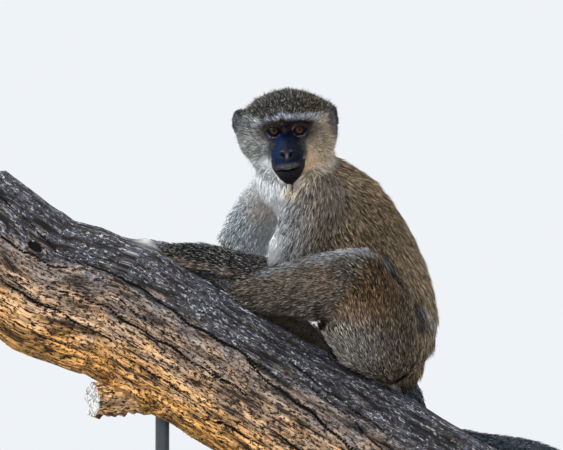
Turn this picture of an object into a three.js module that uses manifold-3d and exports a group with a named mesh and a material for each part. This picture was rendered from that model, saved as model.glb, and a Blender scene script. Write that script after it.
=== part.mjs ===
// A vervet monkey, life-size, seated on a sloping length of dead branch that a plain display stand carries.
// Millimetres, +Z up. The origin is on the underside of the stand's base. The animal faces up the slope,
// towards -X, and turns its head to look towards -Y. Its left side is the one nearer to -Y.
// The solids reach out to the tips of the coat. Each bends a capsule, a cylinder or a ball along its own line.
import * as THREE from "three";
import { mergeVertices } from "three/addons/utils/BufferGeometryUtils.js";
import Module from "manifold-3d";

const wasm = await Module();
wasm.setup();

// ---- driving dimensions ----
const GAP = 0.4; // clear space between pieces that meet
const BASE = { long: 430, wide: 250, thick: 18, corner: 24, bevel: 2, middle: 12 };
const ROD = { radius: 7, sides: 16, socket: 12, inPerch: 34 };
const ROD_PLACES = [
  { name: "stand_rod_upper", x: -119, y: 8 },
  { name: "stand_rod_lower", x: 118, y: 3 },
];
const PERCH = { radius: 71, sides: 16, steps: 13, from: -318, to: 200, upperEnd: -285 };
const EYE = { radius: 8.4, apart: 25.4, forward: 32.5, up: 2.2 };
const EAR = { wide: 14, tall: 16.5, thick: 3.6, outLeft: 46.5, outRight: 45, back: 11, up: 11.5, swing: 1.05 };
const EAR_HOLLOW = { wide: 10.1, tall: 12.2, forward: 4.1, outward: 1.1 };
const FINGER = { root: 3.9, tip: 2.7 };
const TOE = { root: 4.4, tip: 3.1 };

const point = (x, y, z) => new THREE.Vector3(x, y, z);
const DEPTH = point(0, 1, 0); // away from the side that the face looks to
const colour = {
  coat: 0x6d5f4b,
  limb: 0x55504a,
  pale: 0xb9b7b3,
  skin: 0x232a38,
  eye: 0x5a3216,
  bark: 0x7a6a5c,
  stand: 0x3a3d40,
};
const finish = (hex, roughness, metalness = 0) =>
  new THREE.MeshStandardMaterial({ color: hex, roughness, metalness });

// ---- solids and meshes ----
const trios = (list) => Array.from({ length: list.length / 3 }, (_, i) => [...list.slice(3 * i, 3 * i + 3)]);

const solidOf = (corners, faces) =>
  new wasm.Manifold(
    new wasm.Mesh({
      numProp: 3,
      vertProperties: new Float32Array(corners),
      triVerts: new Uint32Array(faces.flat()),
    }),
  );

// The closed solid of a geometry: shared corners are merged and faces that shrink to a line are dropped.
function solid(geometry) {
  const bare = new THREE.BufferGeometry();
  bare.setAttribute("position", geometry.getAttribute("position").clone());
  if (geometry.index) bare.setIndex(geometry.index.clone());
  const merged = mergeVertices(bare, 1e-3);
  const faces = trios(merged.index.array).filter((face) => new Set(face).size === 3);
  return solidOf(merged.attributes.position.array, faces);
}

// Draws the two ends of each very short edge together, where that leaves the surface whole.
function closeShortEdges(corners, faces, shortest) {
  const facesAt = new Map();
  for (const face of faces)
    for (const v of face) facesAt.set(v, (facesAt.get(v) ?? new Set()).add(face));
  const neighbours = (v) => new Set([...facesAt.get(v)].flat().filter((other) => other !== v));
  const spot = (v) => new THREE.Vector3().fromArray(corners, 3 * v);
  const left = new Set(faces);
  for (const face of faces) {
    for (const [i, j] of [[0, 1], [1, 2], [2, 0]]) {
      const [keep, drop] = [face[i], face[j]];
      if (!left.has(face) || spot(keep).distanceTo(spot(drop)) > shortest) continue;
      const shared = neighbours(keep).intersection(neighbours(drop));
      if (shared.size !== 2) continue;
      for (const touched of facesAt.get(drop)) {
        if (touched.includes(keep)) {
          left.delete(touched);
          for (const v of touched) if (v !== drop) facesAt.get(v).delete(touched);
        } else {
          touched[touched.indexOf(drop)] = keep;
          facesAt.get(keep).add(touched);
        }
      }
      facesAt.delete(drop);
    }
  }
  return [...left];
}

// The faces of the body with the most of them, so that slivers left by a cut are dropped.
function largestBody(faces) {
  const parent = new Map();
  const rootOf = (v) => {
    let at = v;
    while (parent.has(at)) at = parent.get(at);
    return at;
  };
  for (const [a, b, c] of faces) {
    for (const other of [b, c]) {
      const [one, two] = [rootOf(a), rootOf(other)];
      if (one !== two) parent.set(two, one);
    }
  }
  const bodies = Map.groupBy(faces, ([a]) => rootOf(a));
  return [...bodies.values()].reduce((a, b) => (a.length > b.length ? a : b));
}

function geometryOf(shape) {
  const { vertProperties, triVerts } = shape.getMesh();
  const geometry = new THREE.BufferGeometry();
  geometry.setAttribute("position", new THREE.BufferAttribute(new Float32Array(vertProperties), 3));
  geometry.setIndex(new THREE.BufferAttribute(triVerts, 1));
  return geometry;
}

// A cut leaves tiny edges and loose slivers behind: this tidies them away.
function cleaned(shape) {
  const shortest = 0.6;
  const { vertProperties, triVerts } = shape.getMesh();
  const body = largestBody(trios(triVerts));
  return solidOf(vertProperties, closeShortEdges(vertProperties, body, shortest));
}

const union = (parts) => parts.reduce((a, b) => a.add(b));

// Keeps the side of a joint's plane that the direction points to, half a gap away from it.
function keepSide(shape, joint, direction) {
  const half = 600; // larger than any piece that is cut
  const block = new THREE.BoxGeometry(2 * half, 2 * half, 2 * half);
  block.translate(0, 0, half + GAP / 2);
  const facing = new THREE.Quaternion().setFromUnitVectors(point(0, 0, 1), direction.clone().normalize());
  block.applyQuaternion(facing).translate(joint.x, joint.y, joint.z);
  return shape.intersect(solid(block));
}

// Moves every corner of a geometry to where the function sends it.
function reshape(geometry, move) {
  const place = geometry.getAttribute("position");
  const corner = new THREE.Vector3();
  for (let i = 0; i < place.count; i++) {
    const moved = move(corner.fromBufferAttribute(place, i));
    place.setXYZ(i, moved.x, moved.y, moved.z);
  }
  return geometry;
}

// A value that runs smoothly through the stations' values.
function through(values, t) {
  const last = values.length - 1;
  const i = Math.min(Math.floor(t * last), last - 1);
  const f = t * last - i;
  const before = values[Math.max(i - 1, 0)];
  const after = values[Math.min(i + 2, last)];
  const [a, b] = [values[i], values[i + 1]];
  const [m0, m1] = [(b - before) / 2, (after - a) / 2];
  const [f2, f3] = [f * f, f * f * f];
  return (2 * f3 - 3 * f2 + 1) * a + (f3 - 2 * f2 + f) * m0 + (3 * f2 - 2 * f3) * b + (f3 - f2) * m1;
}

// A round-ended body of flesh along a line of stations. Each station gives its middle, its half size along
// the direction "across" (side) and its half size square to that (deep). It grows by an even skin if asked.
function flesh(stations, { sides = 14, steps = 8, cap = 3, across = DEPTH } = {}, grow = 0) {
  const line = new THREE.CatmullRomCurve3(stations.map((s) => s.at), false, "centripetal");
  const sideOf = stations.map((s) => s.side);
  const deepOf = stations.map((s) => s.deep);
  const acrossAt = (t) =>
    typeof across === "function" ? across(t) : across;
  const capsule = new THREE.CapsuleGeometry(1, 2, cap, sides, steps);
  return solid(
    reshape(capsule, (p) => {
      const t = THREE.MathUtils.clamp((p.y + 1) / 2, 0, 1);
      const beyond = p.y - THREE.MathUtils.clamp(p.y, -1, 1);
      const tangent = line.getTangent(t);
      const side = acrossAt(t).clone().addScaledVector(tangent, -acrossAt(t).dot(tangent)).normalize();
      const deep = new THREE.Vector3().crossVectors(side, tangent);
      const [a, b] = [through(sideOf, t) + grow, through(deepOf, t) + grow];
      return line
        .getPoint(t)
        .addScaledVector(side, p.x * a)
        .addScaledVector(deep, p.z * b)
        .addScaledVector(tangent, beyond * Math.min(a, b));
    }),
  );
}

const station = (x, y, z, side, deep = side) => ({ at: point(x, y, z), side, deep });

// ---- perch: a weathered log, its line rising towards -X, with a broken side branch below ----
const perchLine = new THREE.CatmullRomCurve3(
  [
    [-345, 536],
    [-292, 499],
    [-262, 474],
    [-238, 460],
    [-204, 449],
    [-170, 439],
    [-137, 420],
    [-97, 395],
    [-57, 371],
    [-17, 346],
    [63, 299],
    [144, 253],
    [184, 230],
    [240, 198],
  ].map(([x, z]) => point(x, 0, z)),
  false,
  "centripetal",
);

// The place on the perch's line that has this x.
function alongPerch(x) {
  let [low, high] = [0, 1];
  for (let i = 0; i < 24; i++) {
    const middle = (low + high) / 2;
    if (perchLine.getPoint(middle).x < x) low = middle;
    else high = middle;
  }
  return (low + high) / 2;
}

// Old wood is never round: two broad flats, a shallow spiral flute and slow swellings along its length.
function barkRadius(x, angle) {
  const flats = 1.6 * Math.cos(2 * angle + 0.8);
  const flute = 1.5 * Math.sin(3 * angle + x / 75);
  const swell = 1.4 * Math.sin(x / 38);
  return PERCH.radius + flats + flute + swell;
}

// A point over the perch: the x of its line's nearest point, an angle from its crest towards +Y, and a height.
function overPerch(lineX, angle, height) {
  const t = alongPerch(lineX);
  const tangent = perchLine.getTangent(t);
  const up = point(-tangent.z, 0, tangent.x);
  const out = barkRadius(lineX, angle) + height;
  return perchLine
    .getPoint(t)
    .addScaledVector(up, Math.cos(angle) * out)
    .addScaledVector(DEPTH, Math.sin(angle) * out);
}

// The same for a point that has this x itself.
function onPerch(x, angle, height) {
  let lineX = x;
  for (let i = 0; i < 8; i++) lineX += x - overPerch(lineX, angle, height).x;
  return overPerch(lineX, angle, height);
}

function perch(grow = 0) {
  const log = new THREE.CylinderGeometry(1, 1, 1, PERCH.sides, PERCH.steps);
  const trunkOfWood = solid(
    reshape(log, (p) => {
      const x = THREE.MathUtils.lerp(PERCH.from, PERCH.to, p.y + 0.5);
      const radius = Math.hypot(p.x, p.z);
      const angle = Math.atan2(p.x, -p.z);
      const spot = overPerch(x, angle, grow);
      const middle = perchLine.getPoint(alongPerch(x));
      return radius > 0.5 ? spot : middle;
    }),
  );
  const sawn = keepSide(trunkOfWood, point(PERCH.upperEnd, 0, 500), point(1, 0, 0));
  const broken = point(-189, -42, 343);
  const stub = flesh(
    [
      station(-85, -8, 352, 26),
      station(-120, -20, 347, 20),
      station(-160, -34, 344, 17.5),
      station(-200, -46, 343, 20),
    ],
    { sides: 8, steps: 3, cap: 2 },
    grow,
  );
  const snapped = keepSide(stub, broken, point(1, 0.42, 0.1));
  return sawn.add(snapped);
}

// ---- stand: a flat base and two plain rods let into the base and the wood ----
function rod({ x, y }, grow = 0) {
  const foot = BASE.thick - ROD.socket - grow;
  const underside = onPerch(x, Math.PI, 0).z;
  const long = underside + ROD.inPerch + grow - foot;
  const bar = new THREE.CylinderGeometry(ROD.radius + grow, ROD.radius + grow, long, ROD.sides);
  bar.rotateX(Math.PI / 2);
  bar.translate(x, y, foot + long / 2);
  return solid(bar);
}

function base() {
  const { long, wide, thick, corner, bevel, middle } = BASE;
  const [a, b] = [long / 2 - bevel, wide / 2 - bevel];
  const outline = new THREE.Shape();
  outline.moveTo(-a + corner, -b);
  outline.absarc(a - corner, -b + corner, corner, -Math.PI / 2, 0, false);
  outline.absarc(a - corner, b - corner, corner, 0, Math.PI / 2, false);
  outline.absarc(-a + corner, b - corner, corner, Math.PI / 2, Math.PI, false);
  outline.absarc(-a + corner, -b + corner, corner, Math.PI, 1.5 * Math.PI, false);
  const plate = new THREE.ExtrudeGeometry(outline, {
    depth: thick - 2 * bevel,
    bevelThickness: bevel,
    bevelSize: bevel,
    bevelSegments: 1,
    curveSegments: 3,
  });
  plate.translate(middle, 0, bevel);
  return solid(plate);
}

// ---- trunk: it twists from the hips, nearly in profile, to the shoulders, turned to the front ----
const TRUNK = [
  { ...station(110, 14, 389, 36, 37), turn: 15 },
  { ...station(109, 14, 411, 45, 51), turn: 17 },
  { ...station(98, 13, 450, 47, 57), turn: 22 },
  { ...station(84, 12, 483, 48, 58), turn: 28 },
  { ...station(67, 10, 511, 48, 59), turn: 34 },
  { ...station(47, 7, 537, 47, 57), turn: 37 },
  { ...station(30, 3, 559, 38, 45), turn: 36 },
];

function trunk(grow = 0) {
  const turns = TRUNK.map((s) => THREE.MathUtils.degToRad(s.turn));
  const across = (t) => {
    const turn = through(turns, t);
    return point(Math.sin(turn), -Math.cos(turn), 0);
  };
  return flesh(TRUNK, { sides: 18, steps: 10, across }, grow);
}

const neck = (grow = 0) =>
  flesh(
    [station(14, 3, 566, 39, 38), station(8, -3, 588, 39, 37), station(6, -7, 610, 35, 34)],
    { sides: 12, steps: 2, cap: 2 },
    grow,
  );

// ---- head: one ball drawn out to a blend of round masses, in the head's own frame ----
// There +x is the animal's left, -y is where the face looks and +z is up.
const HEAD_PLACE = point(4, -15, 610);
const headFrame = new THREE.Matrix4()
  .makeRotationFromEuler(new THREE.Euler(0.05, -0.05, 0.03))
  .setPosition(HEAD_PLACE);

const egg = (x, y, z, rx, ry, rz) => (p) => {
  const [a, b, c] = [p.x - x, p.y - y, p.z - z];
  const near = Math.hypot(a / rx, b / ry, c / rz);
  const slope = Math.hypot(a / rx ** 2, b / ry ** 2, c / rz ** 2);
  return slope < 1e-9 ? -Math.min(rx, ry, rz) : (near * (near - 1)) / slope;
};

function blend(a, b, reach) {
  const h = Math.max(reach - Math.abs(a - b), 0) / reach;
  return Math.min(a, b) - (h * h * reach) / 4;
}

const HEAD_MASSES = [
  { name: "crown", shape: egg(4, 9, 7.5, 46, 47, 38), reach: 0 },
  { name: "left cheek ruff", shape: egg(31, 2, -5, 20, 26, 25), reach: 12 },
  { name: "right cheek ruff", shape: egg(-29, 2, -3.5, 19, 26, 23), reach: 12 },
  { name: "brow", shape: egg(0, -27, 15, 28, 13, 8), reach: 9 },
  { name: "muzzle root", shape: egg(0, -30, -16, 18, 23, 18), reach: 10 },
  { name: "muzzle", shape: egg(0, -44, -28.5, 16, 18.5, 13), reach: 10 },
  { name: "chin", shape: egg(0, -40, -42, 13, 14, 9.5), reach: 7 },
  { name: "throat", shape: egg(0, -8, -28, 27, 28, 18), reach: 12 },
];

const SOCKET = { wide: 11, deep: 6.5, tall: 8, forward: 41, reach: 6 };

function headField(p) {
  const { wide, deep, tall, forward, reach } = SOCKET;
  const masses = HEAD_MASSES.reduce(
    (field, mass) => (field === null ? mass.shape(p) : blend(field, mass.shape(p), mass.reach)),
    null,
  );
  const sockets = [-1, 1].map((side) => egg((side * EYE.apart) / 2, -forward, EYE.up, wide, deep, tall)(p));
  return -blend(-masses, Math.min(...sockets), reach);
}

function head(grow = 0) {
  const middle = point(0, -12, -6);
  const farOut = 110; // outside every mass of the head
  const ball = new THREE.IcosahedronGeometry(1, 7);
  reshape(ball, (p) => {
    const way = p.clone().normalize();
    const spot = new THREE.Vector3();
    let out = farOut;
    for (let i = 0; i < 60; i++) {
      spot.copy(middle).addScaledVector(way, out);
      out -= headField(spot) * 0.9;
    }
    return spot.copy(middle).addScaledVector(way, out + grow);
  });
  return solid(ball.applyMatrix4(headFrame));
}

function eye(side, grow = 0) {
  const ball = new THREE.SphereGeometry(EYE.radius + grow, 10, 7);
  ball.translate((side * EYE.apart) / 2, -EYE.forward, EYE.up);
  return solid(ball.applyMatrix4(headFrame));
}

// An ear is a thin round flap with a shallow hollow on its front, swung back from the side of the head.
function ear(side, grow = 0) {
  const { wide, tall, thick, back, up, swing } = EAR;
  const out = side > 0 ? EAR.outLeft : EAR.outRight;
  const flap = new THREE.SphereGeometry(1, 12, 7).scale(wide + grow, thick + grow, tall + grow);
  const hollow = new THREE.SphereGeometry(1, 10, 4).scale(EAR_HOLLOW.wide, thick, EAR_HOLLOW.tall);
  hollow.translate(EAR_HOLLOW.outward, -EAR_HOLLOW.forward, 0);
  const mirror = new THREE.Matrix4().makeScale(side, 1, 1);
  const placed = (g) => g.rotateZ(swing).translate(out, back, up).applyMatrix4(mirror);
  const turnedIn = (g) => {
    const shape = placed(g);
    if (side < 0) {
      const order = shape.index.array;
      for (let i = 0; i < order.length; i += 3) [order[i], order[i + 1]] = [order[i + 1], order[i]];
    }
    return solid(shape.applyMatrix4(headFrame));
  };
  return grow ? turnedIn(flap) : turnedIn(flap).subtract(turnedIn(hollow));
}

// ---- limbs: each segment is a body of flesh, parted from the next by a thin cut through the joint ----
// Joints are named for the animal's own left and right.
const LIMBS = {
  left_arm: {
    upper: [
      station(38, -33, 551, 24, 29),
      station(27, -35, 527, 22, 29),
      station(17, -27, 502, 19, 25),
      station(11, -10, 480, 15, 20),
      station(11, 0, 467, 14, 17),
    ],
    lower: [
      station(11, 0, 467, 14, 17),
      station(-30, 2, 474.5, 15, 17),
      station(-54, 1, 481, 14, 16.5),
      station(-77, 0, 487.5, 12.5, 15.5),
      station(-92, 0, 490, 11, 13.5),
      station(-107, 1, 492.5, 9, 10.5),
    ],
  },
  right_arm: {
    upper: [
      station(-7, 44, 560, 22, 23),
      station(-20, 62, 545, 21, 24),
      station(-30, 80, 528, 20, 26),
      station(-38, 93, 508, 18, 28),
      station(-42, 99, 491, 15, 21),
    ],
    lower: [
      station(-42, 99, 491, 15, 21),
      station(-80, 90, 484, 14.5, 15),
      station(-112, 78, 480, 11.5, 11.5),
      station(-138, 67, 484, 8.5, 9),
    ],
  },
  left_leg: {
    upper: [
      station(107, -14, 384, 28, 31),
      station(98, -22, 399, 29, 43),
      station(85, -34, 425, 28, 50),
      station(80, -44, 448, 25, 43),
      station(81, -50, 468, 22, 28),
    ],
    lower: [
      station(81, -50, 468, 22, 28),
      station(50, -42, 454, 23, 36.5),
      station(18, -30, 457, 20, 27.5),
      station(-2, -20, 455, 17, 22.5),
      station(-23, -9, 453, 13, 17),
      station(-40, -3, 454, 11, 12),
    ],
  },
  right_leg: {
    upper: [
      station(104, 44, 392, 28, 36),
      station(79, 60, 424, 28, 48),
      station(68, 80, 462, 23, 35),
      station(66, 92, 484, 20, 22),
    ],
    lower: [
      station(66, 92, 484, 20, 22),
      station(48, 80, 472, 20, 23),
      station(24, 57, 453, 14, 16),
      station(2, 33, 436, 10.5, 11.5),
    ],
  },
};

// The two segments of a limb, parted at the plane that halves the bend of its middle joint.
function limbPair(limb, grow, sides) {
  const { upper, lower } = LIMBS[limb];
  const joint = lower[0].at;
  const upperWay = upper[upper.length - 2].at.clone().sub(joint).normalize();
  const lowerWay = lower[1].at.clone().sub(joint).normalize();
  const apart = upperWay.clone().sub(lowerWay);
  return {
    upper: keepSide(flesh(upper, { sides, steps: 4, cap: 2 }, grow), joint, apart),
    lower: keepSide(flesh(lower, { sides, steps: 5, cap: 2 }, grow), joint, apart.clone().negate()),
  };
}

// ---- hands and feet: laid on the wood, with digits that follow its curve ----
// A digit's joints are given as places on the perch: x, angle in degrees and height.
const onWood = (x, degrees, height) => onPerch(x, THREE.MathUtils.degToRad(degrees), height);

function digit(places, size, grow) {
  const last = places.length - 1;
  const stations = places.map(([x, degrees, height], i) => {
    const radius = THREE.MathUtils.lerp(size.root, size.tip, i / last);
    return { at: onWood(x, degrees, height), side: radius, deep: radius };
  });
  return flesh(stations, { sides: 6, steps: 3, cap: 2, across: point(0.6, 0.2, 0.77) }, grow);
}

// The palm or sole, from the wrist or heel to the roots of the digits.
const pad = (stations, grow) => flesh(stations, { sides: 8, steps: 3, cap: 2 }, grow);
const laid = (x, degrees, height, side, deep) => ({ at: onWood(x, degrees, height), side, deep });

const HANDS = {
  // The left hand lies on the crest, up the slope from the wrist, and curls its fingers down the far side.
  hand_left: (grow) => {
    const palm = pad(
      [
        { at: LIMBS.left_arm.lower.at(-1).at, side: 6.5, deep: 7 },
        laid(-115, 6, 6, 9.5, 6.5),
        laid(-123, 10, 4.5, 12, 5.5),
      ],
      grow,
    );
    const fingers = [0, 1, 2, 3].map((k) => {
      const reach = 8 + [0, 3, 3, 1][k];
      const angle = 2 + 7 * k;
      return digit(
        [
          [-121, angle, 4],
          [-123 - reach, angle + 5, 4.5],
          [-126 - reach, angle + 17, 4],
          [-125 - reach, angle + 30, 3.2],
        ],
        FINGER,
        grow,
      );
    });
    const thumb = digit([[-114, 18, 5], [-121, 30, 5], [-127, 38, 3.6]], FINGER, grow);
    return union([palm, ...fingers, thumb]);
  },
  // The right hand lies on the far shoulder of the log and points up the slope.
  hand_right: (grow) => {
    const palm = pad(
      [
        { at: LIMBS.right_arm.lower.at(-1).at, side: 6.5, deep: 7 },
        laid(-164, 56, 8.5, 9.5, 8.5),
        laid(-175, 58, 7, 13, 7.5),
      ],
      grow,
    );
    const fingers = [0, 1, 2, 3].map((k) => {
      const angle = 47 + 8 * k;
      const reach = 24 + [0, 3, 2, -3][k];
      return digit(
        [
          [-176, angle + 1, 5.5],
          [-176 - reach * 0.45, angle, 6.5],
          [-176 - reach * 0.9, angle + 2, 5],
          [-176 - reach * 1.15, angle + 4, 3.4],
        ],
        FINGER,
        grow,
      );
    });
    const thumb = digit([[-164, 66, 5], [-172, 76, 5], [-181, 80, 3.6]], FINGER, grow);
    return union([palm, ...fingers, thumb]);
  },
};

// A foot stands along the crest with its toes up the slope and its big toe set apart on the far side.
function foot(heelX, angle, { ankle, toesTurn, bigToe }, grow) {
  const sole = pad(
    [
      laid(heelX, angle, 9, 9.5, 9.5),
      laid(heelX - 24, angle + 1, 10.5, 10.5, 11),
      laid(heelX - 48, angle + toesTurn * 0.2, 7.5, 14, 8),
    ],
    grow,
  );
  const instep = pad([{ at: ankle, side: 8, deep: 8.5 }, laid(heelX - 16, angle, 12, 10, 11)], grow);
  const toes = [0, 1, 2, 3].map((k) => {
    const spread = angle - 7 + 5.6 * k;
    const reach = 27 + [0, 4, 3, -2][k];
    return digit(
      [
        [heelX - 47, spread + toesTurn * 0.2, 6],
        [heelX - 47 - reach * 0.5, spread + toesTurn * 0.5, 7],
        [heelX - 47 - reach * 0.95, spread + toesTurn * 0.9, 5],
        [heelX - 47 - reach * 1.2, spread + toesTurn * 1.2, 3.6],
      ],
      TOE,
      grow,
    );
  });
  const big = digit(
    [
      [heelX - 24, angle + 8, 6],
      [heelX - 34, angle + bigToe * 0.6, 6],
      [heelX - 44, angle + bigToe, 4.2],
    ],
    { root: TOE.root + 1, tip: TOE.tip + 0.6 },
    grow,
  );
  return union([sole, instep, ...toes, big]);
}

const FEET = {
  foot_left: (grow) =>
    foot(-36, 2, { ankle: LIMBS.left_leg.lower.at(-1).at, toesTurn: 16, bigToe: 40 }, grow),
  foot_right: (grow) =>
    foot(42, 20, { ankle: LIMBS.right_leg.lower.at(-1).at, toesTurn: 12, bigToe: 34 }, grow),
};

// ---- tail: long and hanging, off the rump, down behind the log and past its lower end ----
const TAIL = [
  station(116, 15, 372, 16, 15),
  station(129, 25, 355, 12, 12),
  station(139, 46, 330, 11),
  station(153, 55, 318, 10.5),
  station(186, 54, 308, 10.2),
  station(223, 50, 303, 10),
  station(254, 44, 297.5, 9.8),
  station(283, 38, 285, 9.6),
  station(307, 33, 258, 9.3),
  station(322, 30, 222, 9),
  station(331, 28, 178, 8.6),
  station(337, 26, 130, 8.2),
  station(346, 24, 84, 7.6),
  station(364, 22, 46, 6.8),
  station(392, 20, 24, 5.6),
];
const TAIL_LENGTHS = [
  { name: "tail_root", from: 0, to: 5 },
  { name: "tail_middle", from: 5, to: 9 },
  { name: "tail_tip", from: 9, to: 14 },
];

// One length of the tail, cut square at each of its inner ends.
function tailLength({ from, to }, grow) {
  let shape = flesh(TAIL.slice(from, to + 1), { sides: 8, steps: 8, cap: 2 }, grow);
  const line = (i) => TAIL[i + 1].at.clone().sub(TAIL[i - 1].at);
  if (from > 0) shape = keepSide(shape, TAIL[from].at, line(from));
  if (to < TAIL.length - 1) shape = keepSide(shape, TAIL[to].at, line(to).negate());
  return shape;
}

// ---- putting together: each piece keeps its place, and later ones give way to earlier ones ----
const model = new THREE.Group();
const placed = [];

// Adds a piece, cut back by a gap from those placed before it, except the ones named as already parted.
function place(name, make, material, parted = []) {
  let shape = make(0);
  for (const other of placed) {
    if (!parted.includes(other.name)) shape = shape.subtract(other.grown);
  }
  placed.push({ name, grown: make(GAP) });
  const geometry = geometryOf(cleaned(shape));
  geometry.computeBoundingBox();
  const middle = geometry.boundingBox.getCenter(new THREE.Vector3());
  geometry.translate(-middle.x, -middle.y, -middle.z);
  geometry.computeVertexNormals();
  const mesh = new THREE.Mesh(geometry, material);
  mesh.name = name;
  mesh.position.copy(middle);
  model.add(mesh);
}

const coat = finish(colour.coat, 0.9);
const limbCoat = finish(colour.limb, 0.9);
const steel = finish(colour.stand, 0.45, 0.6);

for (const where of ROD_PLACES) place(where.name, (grow) => rod(where, grow), steel);
place("stand_base", base, steel);
place("perch", perch, finish(colour.bark, 0.85));
for (const [name, side] of [["eye_left", 1], ["eye_right", -1]])
  place(name, (grow) => eye(side, grow), finish(colour.eye, 0.1));
place("head", head, coat);
for (const [name, side] of [["ear_left", 1], ["ear_right", -1]])
  place(name, (grow) => ear(side, grow), limbCoat);
place("trunk", trunk, coat);
place("neck", neck, finish(colour.pale, 0.9));

const ARM_SIDES = 11;
const LEG_SIDES = 12;
for (const side of ["left", "right"]) {
  const leg = (part) => (grow) => limbPair(`${side}_leg`, grow, LEG_SIDES)[part];
  place(`thigh_${side}`, leg("upper"), coat);
  place(`shin_${side}`, leg("lower"), limbCoat, [`thigh_${side}`]);
}
for (const side of ["left", "right"]) place(`foot_${side}`, FEET[`foot_${side}`], limbCoat);
for (const side of ["left", "right"]) {
  const arm = (part) => (grow) => limbPair(`${side}_arm`, grow, ARM_SIDES)[part];
  place(`upper_arm_${side}`, arm("upper"), coat);
  place(`forearm_${side}`, arm("lower"), limbCoat, [`upper_arm_${side}`]);
  place(`hand_${side}`, HANDS[`hand_${side}`], finish(colour.skin, 0.8));
}
TAIL_LENGTHS.forEach((length, i) => {
  const before = i > 0 ? [TAIL_LENGTHS[i - 1].name] : [];
  place(length.name, (grow) => tailLength(length, grow), limbCoat, before);
});

export default model;
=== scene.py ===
import math

import bmesh
import bpy
import numpy as np
from mathutils import Euler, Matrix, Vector
from mathutils.bvhtree import BVHTree


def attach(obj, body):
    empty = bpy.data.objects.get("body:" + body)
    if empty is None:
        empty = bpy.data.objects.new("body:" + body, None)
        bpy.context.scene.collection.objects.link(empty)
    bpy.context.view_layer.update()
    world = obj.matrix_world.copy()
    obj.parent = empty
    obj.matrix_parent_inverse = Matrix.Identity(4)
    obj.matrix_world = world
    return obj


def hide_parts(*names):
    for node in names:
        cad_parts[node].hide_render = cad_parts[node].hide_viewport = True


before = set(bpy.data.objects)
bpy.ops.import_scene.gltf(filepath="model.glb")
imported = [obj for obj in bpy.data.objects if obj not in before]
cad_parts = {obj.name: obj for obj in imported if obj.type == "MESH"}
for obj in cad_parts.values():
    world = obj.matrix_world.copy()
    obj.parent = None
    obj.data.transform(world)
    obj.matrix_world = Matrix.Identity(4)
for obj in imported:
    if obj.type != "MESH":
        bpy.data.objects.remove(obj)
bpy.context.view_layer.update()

# ---- Camera ----
# A long lens at the height of the stand's base looks a little up at the animal, which is how a monkey on
# a high bough is met.
aim = Vector((0.0, 0.0, 0.520))
camera_distance = 6.0
camera_rise = math.radians(-4.0)
scene = bpy.context.scene
camera = bpy.data.objects.new("camera", bpy.data.cameras.new("camera"))
scene.collection.objects.link(camera)
away = Vector((0.0, -math.cos(camera_rise), math.sin(camera_rise)))
camera.location = aim + away * camera_distance
camera.rotation_euler = (-away).to_track_quat("-Z", "Y").to_euler()
camera.data.sensor_width = 36.0
camera.data.lens = 383.7
camera.data.clip_end = 200.0
scene.camera = camera

# ---- Studio: floor and light ----
# A pale matt floor, a pale surround that lights the model evenly from all round as thin cloud does, and
# three soft lamps: a broad one high behind, the key lamp at the front left, and a small cool one in front.
scene.view_settings.view_transform = "Standard"


def linear(code):
    """The linear red, green and blue of an sRGB hex colour."""
    parts = [int(code[i:i + 2], 16) / 255 for i in (1, 3, 5)]
    return [p / 12.92 if p <= 0.04045 else ((p + 0.055) / 1.055) ** 2.4 for p in parts]


def wire(tree, made, inputs):
    """Sets a node's inputs: each is a value, a hex colour, another node or one of its outputs."""
    for key, value in inputs.items():
        if isinstance(value, bpy.types.Node):
            value = value.outputs[0]
        if isinstance(value, bpy.types.NodeSocket):
            tree.links.new(value, made.inputs[key])
        else:
            made.inputs[key].default_value = [*linear(value), 1.0] if isinstance(value, str) else value


def node(tree, kind, inputs=None, stops=(), **settings):
    """Adds a node with its inputs and settings. The stops of a colour ramp are a place and a tone each."""
    made = tree.nodes.new("ShaderNode" + kind)
    for key, value in settings.items():
        setattr(made, key, value)
    wire(tree, made, inputs or {})
    while stops and len(made.color_ramp.elements) < len(stops):
        made.color_ramp.elements.new(0.5)
    for i, (position, tone) in enumerate(stops):
        made.color_ramp.elements[i].position = position
        made.color_ramp.elements[i].color = [*(linear(tone) if isinstance(tone, str) else [tone] * 3), 1.0]
    return made


def finish(name):
    """A new material, with its node tree and its shader."""
    made = bpy.data.materials.new(name)
    made.use_nodes = True
    return made, made.node_tree, made.node_tree.nodes["Principled BSDF"]


world = bpy.data.worlds.new("pale surround")
scene.world = world
world.use_nodes = True
wire(world.node_tree, world.node_tree.nodes["Background"], {"Color": "#eff3f7", "Strength": 1.0})

floor_half = 30.0
floor_mesh = bmesh.new()
bmesh.ops.create_grid(floor_mesh, x_segments=2, y_segments=2, size=floor_half)
floor = bpy.data.objects.new("floor", bpy.data.meshes.new("floor"))
floor_mesh.to_mesh(floor.data)
floor_mesh.free()
scene.collection.objects.link(floor)
floor_paint, tree, shader = finish("matt pale floor paint")
wire(tree, shader, {"Base Color": "#c3c6ca", "Roughness": 0.9})
floor.data.materials.append(floor_paint)

# Name, place, width and height in metres, power in watts and tint of each lamp.
lamps = [
    ("top lamp", (0.5, 1.2, 3.2), (3.0, 3.0), 58.0, (1.0, 1.0, 1.0)),
    ("key lamp", (-2.4, -1.4, 2.6), (1.5, 1.5), 150.0, (0.93, 0.97, 1.0)),
    ("low front lamp", (-0.05, -3.0, 1.50), (0.9, 0.36), 22.0, (0.60, 0.78, 1.0)),
]
for name, place, (wide, tall), power, tint in lamps:
    lamp = bpy.data.objects.new(name, bpy.data.lights.new(name, "AREA"))
    lamp.data.shape = "RECTANGLE"
    lamp.data.size = wide
    lamp.data.size_y = tall
    lamp.data.energy = power
    lamp.data.color = tint
    lamp.location = place
    lamp.rotation_euler = (aim - Vector(place)).to_track_quat("-Z", "Y").to_euler()
    scene.collection.objects.link(lamp)

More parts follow.
